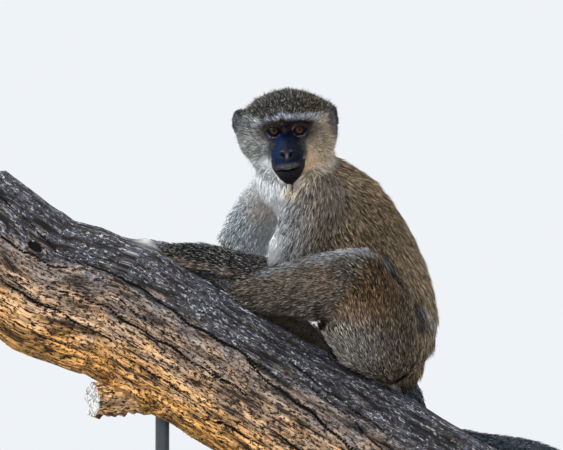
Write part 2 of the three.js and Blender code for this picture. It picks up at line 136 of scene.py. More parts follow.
# ---- Stand: base board and two rods ----
# The board is ash under a matt dark grey lacquer that lets its grain show a little. The rods are steel let
# into it and into the wood above, in a satin dark grey paint. Both keep their solid shape.
grain_pitch = 0.0035
board_finish, tree, shader = finish("ash board, matt dark grey lacquer")
place = node(tree, "TexCoord").outputs["Object"]
along_board = node(tree, "Mapping", {"Vector": place, "Scale": (0.06, 1.0, 1.0)})
years = node(tree, "TexNoise", {"Vector": along_board, "Scale": 1 / grain_pitch / 6, "Detail": 4.0})
pores = node(tree, "TexNoise", {"Vector": along_board, "Scale": 2 / grain_pitch, "Detail": 3.0})
stain = node(tree, "ValToRGB", {"Fac": years}, [(0.35, "#313437"), (0.66, "#42464a")])
bump = node(tree, "Bump", {"Height": pores, "Strength": 0.25, "Distance": 0.0004})
wire(tree, shader, {"Base Color": stain, "Roughness": 0.55, "Normal": bump})

# The paint was brushed on along the rods and shows its fine strokes as a slight change of tone.
stroke_pitch = 0.0006
rod_finish, tree, shader = finish("steel rod, satin dark grey paint")
place = node(tree, "TexCoord").outputs["Object"]
along_rod = node(tree, "Mapping", {"Vector": place, "Scale": (1.0, 1.0, 0.02)})
strokes = node(tree, "TexNoise", {"Vector": along_rod, "Scale": 1 / stroke_pitch, "Detail": 2.0})
brushed = node(tree, "ValToRGB", {"Fac": strokes}, [(0.0, "#36393c"), (1.0, "#404448")])
wire(tree, shader, {"Base Color": brushed, "Roughness": 0.40})

for name, what, slot_name in [
    ("stand_base", board_finish, "base_board"),
    ("stand_rod_upper", rod_finish, "rod_steel"),
    ("stand_rod_lower", rod_finish, "rod_steel"),
]:
    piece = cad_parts[name]
    piece.data.materials.clear()
    piece.data.materials.append(what)

# ---- Log ----
# A dead bough that has lost its bark, grey and lichened where the weather falls on it and ochre below,
# with long drying cracks. A snapped side branch stands out under its upper end.
log_line = np.array([
    (-345, 0, 536), (-292, 0, 499), (-262, 0, 474), (-238, 0, 460), (-204, 0, 449), (-170, 0, 439),
    (-137, 0, 420), (-97, 0, 395), (-57, 0, 371), (-17, 0, 346), (63, 0, 299), (144, 0, 253),
    (184, 0, 230), (240, 0, 198),
]) / 1000
branch_line = np.array([(-85, -8, 352), (-120, -20, 347), (-160, -34, 344), (-200, -46, 343)]) / 1000
log_cell = 0.0025


def remeshed(name, parts, cell, grow):
    """One closed surface round copies of these CAD nodes, each grown a little so that they join."""
    joined = bmesh.new()
    for part_name in parts:
        part = bmesh.new()
        part.from_mesh(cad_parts[part_name].data)
        bmesh.ops.remove_doubles(part, verts=part.verts, dist=1e-5)
        part.normal_update()
        for v in part.verts:
            v.co += v.normal * grow
        holder = bpy.data.meshes.new("holder")
        part.to_mesh(holder)
        joined.from_mesh(holder)
        part.free()
        bpy.data.meshes.remove(holder)
    made = bpy.data.objects.new(name, bpy.data.meshes.new(name))
    joined.to_mesh(made.data)
    joined.free()
    scene.collection.objects.link(made)
    wrap = made.modifiers.new("wrap", "REMESH")
    wrap.mode = "VOXEL"
    wrap.voxel_size = cell
    ready = made.evaluated_get(bpy.context.evaluated_depsgraph_get())
    surface = bpy.data.meshes.new_from_object(ready)
    made.modifiers.clear()
    made.data = surface
    return made


def read(mesh, what, name, kind=np.float64):
    """Reads one value per vertex, or per edge, into an array."""
    count = len(getattr(mesh, what))
    size = {"co": 3, "normal": 3, "vertices": 2}[name]
    values = np.empty(count * size, kind)
    getattr(mesh, what).foreach_get(name, values)
    return values.reshape(-1, size)


def eased(mesh, values, times, share=0.5, keep=None):
    """Evens out values over the surface by drawing each towards the mean of its neighbours."""
    ends = read(mesh, "edges", "vertices", np.int32)
    ends = np.concatenate([ends, ends[:, ::-1]])
    count = len(mesh.vertices)
    degree = np.maximum(np.bincount(ends[:, 0], minlength=count), 1)
    values = np.array(values, float).reshape(count, -1)
    part = share if keep is None else share * (1 - keep)[:, None]
    for _ in range(times):
        near = np.stack(
            [np.bincount(ends[:, 0], values[ends[:, 1], i], count) for i in range(values.shape[1])], 1
        )
        values = values + part * (near / degree[:, None] - values)
    return values


def on_line(points, line):
    """For each point: its nearest place on a line, how far along that is, and the line's direction."""
    best = np.full(len(points), np.inf)
    spot = np.zeros((len(points), 3))
    way = np.zeros((len(points), 3))
    along = np.zeros(len(points))
    gone = 0.0
    for a, b in zip(line[:-1], line[1:]):
        step = b - a
        long = np.linalg.norm(step)
        t = np.clip((points - a) @ step / long**2, 0, 1)
        at = a + t[:, None] * step
        far = np.linalg.norm(points - at, axis=1)
        nearer = far < best
        best[nearer] = far[nearer]
        spot[nearer] = at[nearer]
        way[nearer] = step / long
        along[nearer] = gone + t[nearer] * long
        gone += long
    return spot, along, way


def put(mesh, name, kind, values):
    """Stores a value per vertex on the mesh for its material to read."""
    layer = mesh.attributes.new(name, kind, "POINT")
    key = {"FLOAT": "value", "FLOAT_VECTOR": "vector", "FLOAT_COLOR": "color"}[kind]
    layer.data.foreach_set(key, np.asarray(values, np.float32).ravel())


def smoothstep(low, high, value):
    """0 up to low and 1 from high on, with a smooth rise between them."""
    t = np.clip((value - low) / (high - low), 0, 1)
    return t * t * (3 - 2 * t)


def swell(value, middle, half, power=2):
    """1 at the middle, falling away smoothly on both sides, to about a third at half."""
    return np.exp(-((value - middle) / half) ** power)


log = remeshed("log_bare_wood", ["perch"], log_cell, 0.0)
places = eased(log.data, read(log.data, "vertices", "co"), 3)
spot, along, way = on_line(places, log_line)
branch_spot, branch_along, branch_way = on_line(places, branch_line)
offset = places - spot
from_log = np.linalg.norm(offset, axis=1)
from_branch = np.linalg.norm(places - branch_spot, axis=1)
on_branch = smoothstep(0.079, 0.088, from_log) * (from_branch < 0.035)
up = np.cross(way, (0.0, 1.0, 0.0))
height = (offset * up).sum(1)
depth = places[:, 1]
around = np.arctan2(-height, -depth)  # 0 towards the front, rising to the underside
log_radius = 0.071
grain = np.stack([along, height, depth], 1)
branch_grain = np.stack([branch_along, *(places - branch_spot)[:, 1:].T], 1)
grain = np.where(on_branch[:, None] > 0.5, branch_grain + 1.0, grain)

# Drying cracks and one knot hole: where each starts and ends across the model, its angle round the log at
# either end, and its half width.
cracks = [
    (-0.200, -0.110, -0.47, -0.35, 0.0010), (-0.125, -0.002, -0.36, -0.34, 0.0012),
    (-0.250, -0.100, 0.03, 0.15, 0.0008), (-0.120, -0.050, 0.11, 0.13, 0.0007),
    (-0.300, -0.200, 0.22, 0.42, 0.0010), (-0.215, -0.160, 0.38, 0.58, 0.0007),
    (-0.292, -0.205, -0.17, -0.32, 0.0008), (-0.295, -0.190, -0.83, -0.40, 0.0006),
    (-0.034, 0.085, -0.29, 0.04, 0.0014), (0.070, 0.170, 0.00, 0.10, 0.0010),
    (-0.005, 0.110, -0.70, -0.42, 0.0008), (0.028, 0.150, -0.50, 0.00, 0.0007),
    (-0.078, -0.012, 0.05, 0.20, 0.0005), (-0.080, -0.015, 0.84, 0.67, 0.0006),
    (-0.020, 0.060, 0.36, 0.58, 0.0009), (-0.180, -0.090, -0.10, -0.02, 0.0005),
    (-0.270, -0.190, 0.75, 0.95, 0.0007), (-0.170, -0.060, 0.60, 0.72, 0.0006),
    (-0.260, 0.060, 2.40, 2.90, 0.0011), (-0.160, 0.160, -2.70, -2.30, 0.0010),
    (-0.230, 0.080, 1.55, 1.75, 0.0008), (-0.2505, -0.2365, -0.41, -0.39, 0.0046),
]
no_crack = 0.02
crack = np.full(len(places), no_crack)
for start, end, angle0, angle1, wide in cracks:
    t = (places[:, 0] - start) / (end - start)
    wobble = 0.022 * np.sin(along * 61 + angle0 * 9) + 0.014 * np.sin(along * 171 + angle1 * 7)
    centre = angle0 + (angle1 - angle0) * t + wobble
    turned = (around - centre + math.pi) % (2 * math.pi) - math.pi
    aside = np.abs(turned) * log_radius
    beyond = np.maximum(np.maximum(-t, t - 1), 0) * (end - start)
    taper = wide * np.sqrt(np.clip(4 * t * (1 - t), 0, 1))
    crack = np.minimum(crack, np.hypot(aside, beyond) - taper)
crack = np.where(on_branch > 0.5, no_crack, crack)
normals = read(log.data, "vertices", "normal")
across = places[:, 0]
end_face = ((np.abs((normals * way).sum(1)) > 0.7) & ((across < -0.27) | (across > 0.18))) | (
    (np.abs((normals * branch_way).sum(1)) > 0.55) & (on_branch > 0.5) & (across < -0.155)
)
end_face = end_face.astype(float)

# A knob on the crest, the grooves of the cracks, and soft ridges and hollows all over.
knob = swell(across, -0.135, 0.010) * swell(depth, -0.004, 0.018)
knob *= smoothstep(0.7, 0.95, height / log_radius)
knob_height = 0.0065 + 0.0015 * np.sin(across * 600) * np.sin(depth * 420)
groove_depth, groove_half = 0.0026, 0.0016
groove = np.clip(1 - crack / groove_half, 0, 1) * groove_depth * (1 - end_face)
ridges = 0.0007 * np.sin(around * 37 + along * 14 + 2 * np.sin(along * 23)) * (1 - on_branch)
rough = 0.0010 * np.sin(along * 95 + around * 6) * np.sin(around * 11 - along * 31)
# The side branch narrows behind a ragged, knobby end.
waist = swell(across, -0.150, 0.012) * on_branch
lumps = np.sin(across * 310 + depth * 190) * np.sin(places[:, 2] * 270 + 1.0)
lumps *= np.sin(depth * 230 + across * 120)
splinters = np.sin(across * 700 + places[:, 2] * 500)
rough = rough + on_branch * (0.0040 * waist + 0.0030 * lumps + 0.0010 * splinters)
worn_off = 0.0008
inward = groove + worn_off + ridges * (1 - end_face) + rough - knob_height * knob
places -= normals * inward[:, None]
log.data.vertices.foreach_set("co", places.astype(np.float32).ravel())
log.data.shade_smooth()
put(log.data, "grain", "FLOAT_VECTOR", grain)
put(log.data, "ring", "FLOAT_VECTOR", np.stack([from_log, 0 * along, 0 * along], 1))
branch_lit = -0.55
for name, values in [
    ("crack", crack), ("lit", np.where(on_branch > 0.5, branch_lit, height / log_radius)),
    ("broken", end_face), ("sawn", end_face * (on_branch < 0.5)), ("knob", knob),
]:
    put(log.data, name, "FLOAT", values)

# Dead wood is dry and dull all over: ochre below, bleached brown at its side, and nearly black with pale
# dashes of lichen above.
wood, tree, shader = finish("dead wood, weathered bare, lichened above")
grain_of, ring_of = (
    node(tree, "Attribute", attribute_name=name).outputs["Vector"] for name in ("grain", "ring")
)
crack_of, lit_of, broken_of, sawn_of, knob_of = (
    node(tree, "Attribute", attribute_name=name).outputs["Fac"]
    for name in ("crack", "lit", "broken", "sawn", "knob")
)
# Patterns drawn out along the grain: how much, from where, how many to the metre, their detail and their
# roughness. Fibres are 3.2 mm apart and hairline checks 1.3 mm, patches are 13 mm wide, stains 8 mm, and
# flecks and dashes of lichen 2.4 mm.
fibre = 0.0032
hairline = 0.0013
pattern = {}
for key, drawn_out, start, to_metre, detail, roughness in [
    ("fibres", 0.22, (0.0, 0.0, 0.0), 1 / fibre, 6.0, 0.65),
    ("checks", 0.03, (0.0, 0.0, 0.0), 1 / hairline, 2.0, 0.5),
    ("patches", 0.45, (0.0, 0.0, 0.0), 75.0, 7.0, 0.62),
    ("stains", 0.20, (0.0, 0.0, 0.0), 130.0, 5.0, 0.6),
    ("flecks", 0.50, (0.0, 0.0, 0.0), 420.0, 6.0, 0.75),
    ("dashes", 0.50, (3.1, 0.7, 0.2), 430.0, 6.0, 0.72),
]:
    drawn = node(tree, "Mapping", {"Vector": grain_of, "Location": start, "Scale": (drawn_out, 1.0, 1.0)})
    pattern[key] = node(tree, "TexNoise", {"Vector": drawn, "Scale": to_metre, "Detail": detail,
                                           "Roughness": roughness})
pattern["rings"] = node(tree, "TexNoise", {"Vector": ring_of, "Scale": 520.0, "Detail": 2.0})
# Height on the log, pushed about by the patches, sets how grey the wood has gone.
shifted = node(tree, "Math", {0: pattern["patches"], 1: 1.8}, operation="MULTIPLY")
weathered = node(tree, "Math", {0: lit_of, 1: shifted}, operation="ADD")
# How much of each tone shows where: what sets it, the two ends of that, and the shares there.
share = {}
for key, source, low, high, least, most in [
    ("grey", weathered, -0.3, 2.0, 0.0, 1.0),
    ("upper", weathered, 0.85, 1.35, 0.0, 1.0),
    ("stain", pattern["stains"], 0.36, 0.60, 0.14, 1.55),
    ("drift", pattern["stains"], 0.40, 0.56, 0.0, 1.0),
    ("fleck", pattern["flecks"], 0.45, 0.51, 0.0, 1.0),
    ("fibre", pattern["fibres"], 0.33, 0.46, 0.0, 1.0),
    ("check", pattern["checks"], 0.34, 0.41, 0.0, 1.0),
    ("dash", pattern["dashes"], 0.548, 0.60, 0.0, 0.9),
    ("ring", pattern["rings"], 0.40, 0.60, 0.0, 1.0),
]:
    share[key] = node(tree, "MapRange", {"Value": source, "From Min": low, "From Max": high,
                                         "To Min": least, "To Max": most})
weather_stops = [
    (0.00, "#80603a"), (0.14, "#e6a558"), (0.28, "#dba66f"), (0.42, "#b29173"), (0.60, "#857366"),
    (0.71, "#504d50"), (0.82, "#37383e"), (1.00, "#454853"),
]
bleached = node(tree, "ValToRGB", {"Fac": share["grey"]}, weather_stops)
stained = node(tree, "VectorMath", {0: bleached, 1: share["stain"]}, operation="MULTIPLY")
# Pale lichen lies in short dashes along the grain on the dark upper side, thickest on a knob of the crest.
drifted = node(tree, "Math", {0: share["upper"], 1: share["drift"]}, operation="MULTIPLY")
dash = node(tree, "Math", {0: drifted, 1: share["dash"]}, operation="MULTIPLY")
knob_share = node(tree, "Math", {0: knob_of, 1: share["fibre"]}, operation="MULTIPLY")
crust = node(tree, "Math", {0: dash, 1: knob_share}, operation="MAXIMUM")
# A crack is open between frayed edges, and painted shade makes it near black inside.
frayed = node(tree, "Math", {0: pattern["fibres"], 1: 0.0014}, operation="MULTIPLY")
crack_edge = node(tree, "Math", {0: crack_of, 1: frayed}, operation="SUBTRACT")
shut = node(tree, "MapRange", {"Value": crack_edge, "From Min": -0.0004, "From Max": 0.0002})
# Each tone is a mix of two others or of plain colours: its name, the share of the second, and the two.
tone = {"stained": stained}
for key, amount, first, second in [
    ("flecked", share["fleck"], "#241b15", "stained"),
    ("fibrous", share["fibre"], "#2c211a", "flecked"),
    ("checked", share["check"], "#12100f", "fibrous"),
    ("lichened", crust, "checked", "#bab6b4"),
    ("torn", share["fibre"], "#5d5750", "#cfccc8"),
    ("torn end", share["fleck"], "#756d65", "torn"),
    ("year rings", share["ring"], "#7d6549", "#a58a68"),
    ("end", sawn_of, "torn end", "year rings"),
    ("whole", broken_of, "lichened", "end"),
    ("cracked", shut, "#0b0908", "whole"),
]:
    tone[key] = node(tree, "Mix", {0: amount, 6: tone.get(first, first), 7: tone.get(second, second)},
                     data_type="RGBA").outputs[2]
fibre_bump = node(tree, "Bump", {"Height": pattern["fibres"], "Strength": 0.9, "Distance": 0.0020})
fleck_bump = node(tree, "Bump", {"Height": pattern["flecks"], "Strength": 0.6, "Distance": 0.0012,
                                 "Normal": fibre_bump})
wire(tree, shader, {"Base Color": tone["cracked"], "Roughness": 0.9, "Specular IOR Level": 0.12,
                    "Normal": fleck_bump})
log.data.materials.append(wood)
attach(log, "root")
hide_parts("perch")

# ---- Skin ----
# One hide over the whole animal, set inside the tips of the hair by the coat's depth. It is bare on the
# face, palms and soles, and the face has lids, eye bags, nostrils and lips worked into it.
MM = 0.001
FLESH = sorted(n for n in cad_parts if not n.startswith(("stand_", "perch", "eye_")))
skin_cell = 0.0021
head_place = np.array((4.0, -15.0, 610.0)) * MM
head_turn = np.array(Euler((0.05, -0.05, 0.03)).to_matrix())
eye_radius, eye_apart, eye_forward, eye_up = 8.4, 25.4, 32.5, 2.2

# The body's lines, in millimetres: the hair lies along them, from the neck to the fingers, toes and tail.
BODY_LINES = {
    "spine": [(6, -7, 612), (14, 3, 566), (30, 3, 559), (47, 7, 537), (67, 10, 511), (84, 12, 483),
              (98, 13, 450), (109, 14, 411), (112, 14, 370)],
    "arm_left": [(38, -33, 565), (27, -35, 527), (17, -27, 502), (11, -8, 476), (2, 0, 469),
                 (-30, 2, 474.5), (-54, 1, 481), (-77, 0, 487.5), (-107, 1, 492.5), (-125, 22, 492),
                 (-133, 60, 480)],
    "arm_right": [(-7, 44, 575), (-20, 62, 545), (-30, 80, 528), (-40, 97, 498), (-52, 97, 489),
                  (-80, 90, 484), (-112, 78, 480), (-138, 67, 484), (-205, 60, 495)],
    "leg_left": [(108, -8, 372), (99, -22, 399), (90, -34, 425), (84, -46, 455), (72, -48, 466),
                 (50, -42, 459.5), (18, -30, 457), (-2, -20, 455), (-23, -9, 453), (-45, -2, 450),
                 (-110, 14, 475)],
    "leg_right": [(104, 40, 385), (79, 60, 424), (68, 82, 466), (60, 88, 480), (48, 80, 472),
                  (24, 57, 453), (2, 33, 436), (-60, 26, 450)],
    "tail": [(110, 10, 388), (116, 15, 372), (129, 25, 355), (139, 46, 330), (153, 55, 318),
             (186, 54, 308), (223, 50, 303), (254, 44, 297.5), (283, 38, 285), (307, 33, 258),
             (322, 30, 222), (331, 28, 178), (337, 26, 130), (346, 24, 84), (364, 22, 46), (396, 20, 20)],
}
LINE_NAMES = list(BODY_LINES)
LINE_OF = {"head": "spine", "neck": "spine", "trunk": "spine", "ear_left": "spine", "ear_right": "spine"}
for side in ("left", "right"):
    LINE_OF.update({f"{part}_{side}": f"arm_{side}" for part in ("upper_arm", "forearm", "hand")})
    LINE_OF.update({f"{part}_{side}": f"leg_{side}" for part in ("thigh", "shin", "foot")})
LINE_OF.update({n: "tail" for n in FLESH if n.startswith("tail")})

skin = remeshed("skin", FLESH + ["eye_left", "eye_right"], skin_cell, 0.00045)


def in_head(points):
    """Points in the head's own frame, in millimetres: x to the animal's left, -y forward, z up."""
    return (points - head_place) @ head_turn / MM


def from_head(points):
    """Points of the head's own frame, in millimetres, in the model's frame."""
    return (points * MM) @ head_turn.T + head_place


# The face is cut four times finer each way than the rest, for lids and lips.
fine = bmesh.new()
fine.from_mesh(skin.data)
middles = np.array([f.calc_center_median() for f in fine.faces])
p = in_head(middles)
on_face = (p[:, 1] < -20) & (np.abs(p[:, 0]) < 23) & (p[:, 2] > -56) & (p[:, 2] < 16)
fine.faces.ensure_lookup_table()
edges = {e for i in np.flatnonzero(on_face) for e in fine.faces[i].edges}
bmesh.ops.subdivide_edges(fine, edges=list(edges), cuts=3, use_grid_fill=True)
fine.to_mesh(skin.data)
fine.free()

places = read(skin.data, "vertices", "co")
p = in_head(places)
face_share = (
    smoothstep(-19, -24, p[:, 1]) * smoothstep(24.5, 21, np.abs(p[:, 0]))
    * smoothstep(-58, -54, p[:, 2]) * smoothstep(18, 14, p[:, 2])
)
places = eased(skin.data, places, 4, keep=face_share)
places = eased(skin.data, places, 24, keep=1 - face_share)
# The near shoulder runs on into the back under the hair without a step.
shoulder = np.exp(-(((places / MM - (48, -40, 560)) / (30, 40, 36)) ** 2).sum(1)) * (1 - face_share)
below_head = in_head(places)[:, 2] < -32
places = eased(skin.data, places, 220, keep=1 - np.clip(1.3 * shoulder, 0, 1) * below_head)

# Which part of the body each bit of skin belongs to.
corners, faces, owner = [], [], []
for i, name in enumerate(FLESH):
    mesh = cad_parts[name].data
    mesh.calc_loop_triangles()
    start = len(corners)
    corners += [v.co.copy() for v in mesh.vertices]
    faces += [[start + v for v in t.vertices] for t in mesh.loop_triangles]
    owner += [i] * len(mesh.loop_triangles)
solids = BVHTree.FromPolygons(corners, faces)
part = np.array([owner[solids.find_nearest(co)[2]] for co in places])
is_part = {name: (part == i).astype(float) for i, name in enumerate(FLESH)}


def by_part(table):
    """A value, or a row of them, per vertex from a table of the kinds of part."""
    return np.array([table[name.rsplit("_", 1)[0]] for name in FLESH])[part]


def near_part(times, *names):
    """1 on these parts of the body and 0 off them, eased over the surface."""
    return eased(skin.data, sum(is_part[name] for name in names), times)[:, 0]


coat_depth = by_part({
    "head": 5.0, "neck": 6.0, "trunk": 6.0, "ear": 0.5, "upper_arm": 4.0, "forearm": 3.0, "hand": 0.5,
    "thigh": 5.0, "shin": 2.5, "foot": 0.6, "tail": 3.0,
})
coat_depth = eased(skin.data, coat_depth, 60)[:, 0]
ear_share = near_part(4, "ear_left", "ear_right")
coat_depth = coat_depth + (0.6 - coat_depth) * smoothstep(0.3, 0.8, ear_share)


def blob(points, middle, half, soft=0.35):
    """1 inside an egg-shaped region and 0 outside it, with a soft edge."""
    far = np.linalg.norm((points - np.array(middle)) / np.array(half), axis=1)
    return 1 - smoothstep(1 - soft, 1 + soft, far)


# The bare face: round the eyes, down the nose, over the muzzle and the chin.
p = in_head(places)
front = smoothstep(-12, -22, p[:, 1])
chin_half = np.interp(-p[:, 2], [24, 34, 39, 46, 51, 54], [18.8, 18.0, 15.8, 11.0, 5.0, -1.5])
chin = smoothstep(1.5, -1.5, np.abs(p[:, 0] - 0.2) - chin_half) * smoothstep(-23, -27, p[:, 2])
bare = np.max([
    *(blob(p, (x, -36, -0.6), (9.6, 16, 7.6), 0.3) for x in (11.8, -11.8)),
    blob(p, (-0.6, -40, -6), (16, 20, 15.5), 0.35),
    blob(p, (-0.6, -45, -24), (18.8, 26, 20), 0.25) * smoothstep(-39, -36, p[:, 2]),
    chin * smoothstep(-24, -30, p[:, 1]),
], axis=0) * front
near_face = np.maximum(blob(p, (0, -42, -12), (33, 30, 40), 0.5), bare)
coat_depth = coat_depth * (1 - 0.9 * near_face)
brow = blob(p, (0, -34, 15), (30, 16, 9)) * front
coat_depth = coat_depth * (1 - 0.5 * brow)
ruff = np.max([blob(p, (x, -4, -10), (26, 30, 28)) for x in (36, -36)], axis=0)
coat_depth += 2.0 * ruff * (1 - near_face)

skin.data.vertices.foreach_set("co", places.astype(np.float32).ravel())
skin.data.update()
normals = eased(skin.data, read(skin.data, "vertices", "normal"), 3)
normals /= np.linalg.norm(normals, axis=1)[:, None]
places = places - normals * coat_depth[:, None] * MM
hairy = smoothstep(1.0, 3.0, coat_depth)
places = eased(skin.data, places, 6, keep=1 - hairy)

# Features of the face, in head millimetres: x, z, half width, half height and how far they stand out.
p = in_head(places)
relief = np.zeros(len(p))
nose_x = -1.6
for x, z, wide, tall, out in [
    (-0.6, -3, 3.6, 12, 1.3),  # bridge of the nose
    (nose_x, -16.0, 4.6, 4.0, 1.2),  # tip of the nose
    (nose_x + 4.6, -19.0, 2.4, 1.1, 0.9), (nose_x - 4.6, -19.0, 2.4, 1.1, 0.9),  # rims of the nostrils
    (nose_x, -24.0, 1.7, 4.5, 1.2),  # septum
    (-1.4, -33.5, 11, 3.0, 0.8),  # upper lip
    (-1.4, -43.0, 9.0, 3.2, 1.0),  # lower lip
    (11, -12, 4, 9, -1.2), (-13, -12, 4, 9, -1.2),  # hollows beside the nose
]:
    relief += out * swell(p[:, 0], x, wide) * swell(p[:, 2], z, tall)
mouth = -38.6 + 0.011 * (p[:, 0] + 6) ** 2
parting = 0.5 + 0.75 * swell(p[:, 0], -1.5, 8)
mouth_line = swell(p[:, 2], mouth, parting) * smoothstep(14.5, 11.5, np.abs(p[:, 0] + 2.5))
relief -= (1.2 + 1.2 * parting) * mouth_line
tooth = swell(p[:, 0], -1.0, 3.4, 4) * swell(p[:, 2], mouth + 1.1, 0.75)
nostril = np.zeros(len(p))
for side in (1, -1):
    dx = (p[:, 0] - nose_x) * side - 4.0
    dz = p[:, 2] + 22.4
    slant_x = 0.80 * dx - 0.60 * dz
    slant_z = 0.60 * dx + 0.80 * dz
    nostril = np.maximum(nostril, swell(slant_x, 0, 1.05) * swell(slant_z, 0, 2.5))
relief -= 2.6 * nostril
forward = head_turn @ np.array((0.0, -1.0, 0.0))
facing = np.clip((normals @ forward), 0, 1) * smoothstep(-20, -26, p[:, 1])
places = places + normals * (relief * facing * MM)[:, None]

# Lids: the skin wraps the eyeball, and inside the opening it goes behind the ball's face.
p = in_head(places)
lid_rim, bag, upper_lid, crease_highlight, hood = np.zeros((5, len(p)))
for side in (1, -1):
    # Where each point is from the eye's middle, and how far out of its slanted almond opening.
    centre = np.array((side * eye_apart / 2, -eye_forward, eye_up))
    d = p - centre
    out = np.linalg.norm(d, axis=1)
    x = d[:, 0] * side
    tilted = d[:, 2] - 0.17 * x
    across_eye = np.hypot(d[:, 0], d[:, 2])
    tall = np.where(tilted > 0, 2.45, 2.75)
    opening = ((np.abs(x) / 4.8) ** 1.6 + (np.abs(tilted) / tall) ** 1.6) ** (1 / 1.6)
    in_front = smoothstep(3, -1, d[:, 1])
    close = (1 - smoothstep(9.0, 12.5, across_eye)) * in_front
    # The lid lies on the ball with a thicker edge, a fold above and a puffy bag below.
    lid = eye_radius + 0.45 + 0.40 * swell(opening, 1.25, 0.18)
    fold = np.hypot(x / 9.2, tilted / np.where(tilted > 0, 7.0, 7.6))
    lid += 0.9 * smoothstep(0.80, 1.25, fold)
    lid -= 0.35 * swell(fold, 0.86, 0.06) * (tilted > 0) * smoothstep(8.5, 5.0, np.abs(x))
    puffy = fold + 0.05 * np.sin(x * 1.1 + 1)
    under_eye = (tilted < 0) * smoothstep(7.5, 3.5, np.abs(x + 0.5))
    lid += 0.45 * swell(puffy, 0.95, 0.08) * under_eye
    lid -= 0.40 * swell(puffy, 1.16, 0.06) * under_eye
    wanted = np.where(opening < 1, eye_radius - 1.7, lid)
    moved = centre + d / np.maximum(out, 1e-6)[:, None] * wanted[:, None]
    p = p + (moved - p) * close[:, None]
    # Shares that colour the edge of the lids, the bag, painted highlights along its creases, and the upper
    # lid.
    rim = 1 - smoothstep(1.22, 1.50, opening)
    lid_rim = np.maximum(lid_rim, rim * in_front * (across_eye < 12))
    below = smoothstep(0.5, -1.5, tilted) * in_front * (across_eye < 14)
    above = smoothstep(-0.5, 2.0, tilted) * in_front * (across_eye < 14)
    pouch = swell(fold, 0.86, 0.17) * below * smoothstep(9.5, 5.0, np.abs(x + 0.5))
    bag = np.maximum(bag, pouch)
    ripple = fold + 0.05 * np.sin(x * 1.3 + 1) + 0.03 * np.sin(x * 2.9)
    lines = swell(ripple, 0.78, 0.040) + 0.8 * swell(ripple, 1.04, 0.05)
    lines = lines * below * smoothstep(8.0, 3.0, np.abs(x + 1)) * (0.6 + 0.4 * np.sin(x * 2.1))
    crease_highlight = np.maximum(crease_highlight, lines)
    hood = np.maximum(hood, above * smoothstep(1.6, 1.35, fold))
    edge = swell(fold, 0.80, 0.09) * above * smoothstep(9.0, 6.0, np.abs(x + 1.5))
    upper_lid = np.maximum(upper_lid, edge * (1.0 if side > 0 else 0.3))
places = np.where(face_share[:, None] > 0.01, from_head(p), places)
skin.data.vertices.foreach_set("co", places.astype(np.float32).ravel())
skin.data.update()
skin.data.shade_smooth()
normals = read(skin.data, "vertices", "normal")

# Which way the hair lies: away from the nose on the head, and down each part's own line elsewhere.
p = in_head(places)
lie = np.zeros_like(places)
line_along = np.zeros(len(places))
line_turn = np.zeros(len(places))
line_id = np.array([LINE_NAMES.index(LINE_OF[n]) for n in FLESH])[part]
for i, name in enumerate(LINE_NAMES):
    chosen = line_id == i
    line = np.array(BODY_LINES[name]) * MM
    spot, along, way = on_line(places[chosen], line)
    lie[chosen] = way
    long = np.linalg.norm(np.diff(line, axis=0), axis=1).sum()
    line_along[chosen] = along / long
    off = places[chosen] - spot
    side_way = np.cross(way, (0.31, 0.90, 0.29))
    top_way = np.cross(way, side_way)
    line_turn[chosen] = np.arctan2((off * side_way).sum(1), (off * top_way).sum(1)) / (2 * math.pi) + 0.5
head_share = near_part(40, "head", "ear_left", "ear_right")
nose = np.array((0.6, -56.0, -14.0))
from_nose = p - nose
from_nose /= np.linalg.norm(from_nose, axis=1)[:, None]
from_nose = from_nose @ head_turn.T
lie = lie * (1 - head_share)[:, None] + from_nose * (1.4 * head_share)[:, None]
lie -= normals * (lie * normals).sum(1)[:, None]
lie = eased(skin.data, lie, 12)
lie -= normals * (lie * normals).sum(1)[:, None]
lie /= np.maximum(np.linalg.norm(lie, axis=1), 1e-9)[:, None]

# ---- Markings, shared by the skin and the coat ----
# Dark grizzled cap, white brow band, navy face, white ruff, bib and inner arms, olive-brown back and
# thighs, grey limbs that darken to black hands and feet, and a slate tail. Each kind of part starts with a
# colour for its hair and one for its pale tips.
base_colours = {
    "head": ("#1c2028", "#8a7e6a"), "ear": ("#1b1b1c", "#8f8a80"), "neck": ("#8d8c86", "#8f8a80"),
    "trunk": ("#6f5e4a", "#dabb92"), "upper_arm": ("#948170", "#8f8a80"), "forearm": ("#29282a", "#8f8a80"),
    "hand": ("#707278", "#8f8a80"), "thigh": ("#5c5045", "#a08c70"), "shin": ("#6e6053", "#8f8a80"),
    "foot": ("#4e4a4c", "#8f8a80"), "tail": ("#4f5963", "#8f8a80"),
}
coat, tick = (
    eased(skin.data, np.sqrt(by_part({kind: linear(pair[i]) for kind, pair in base_colours.items()})), 40)
    for i in range(2)
)


def mark(where, hair_share, hair_code, tip_share=0.0, tip_code="#000000"):
    """Brings the hair of a region, and its pale tips, towards a colour each. Both hold square roots."""
    for layer, share, code in ((coat, hair_share, hair_code), (tick, tip_share, tip_code)):
        wanted = np.sqrt(np.array(linear(code)))
        layer += (wanted - layer) * np.clip(share * where, 0, 1)[:, None]


def beside(line, wide, soft):
    """1 close to a line drawn down the animal's side in millimetres, and 0 from wide off it."""
    flat = q * (1, 0, 1)
    spot, _, _ = on_line(flat, np.array([(x, 0, z) for x, z in line], float))
    return smoothstep(wide, soft, np.linalg.norm(flat - spot, axis=1))


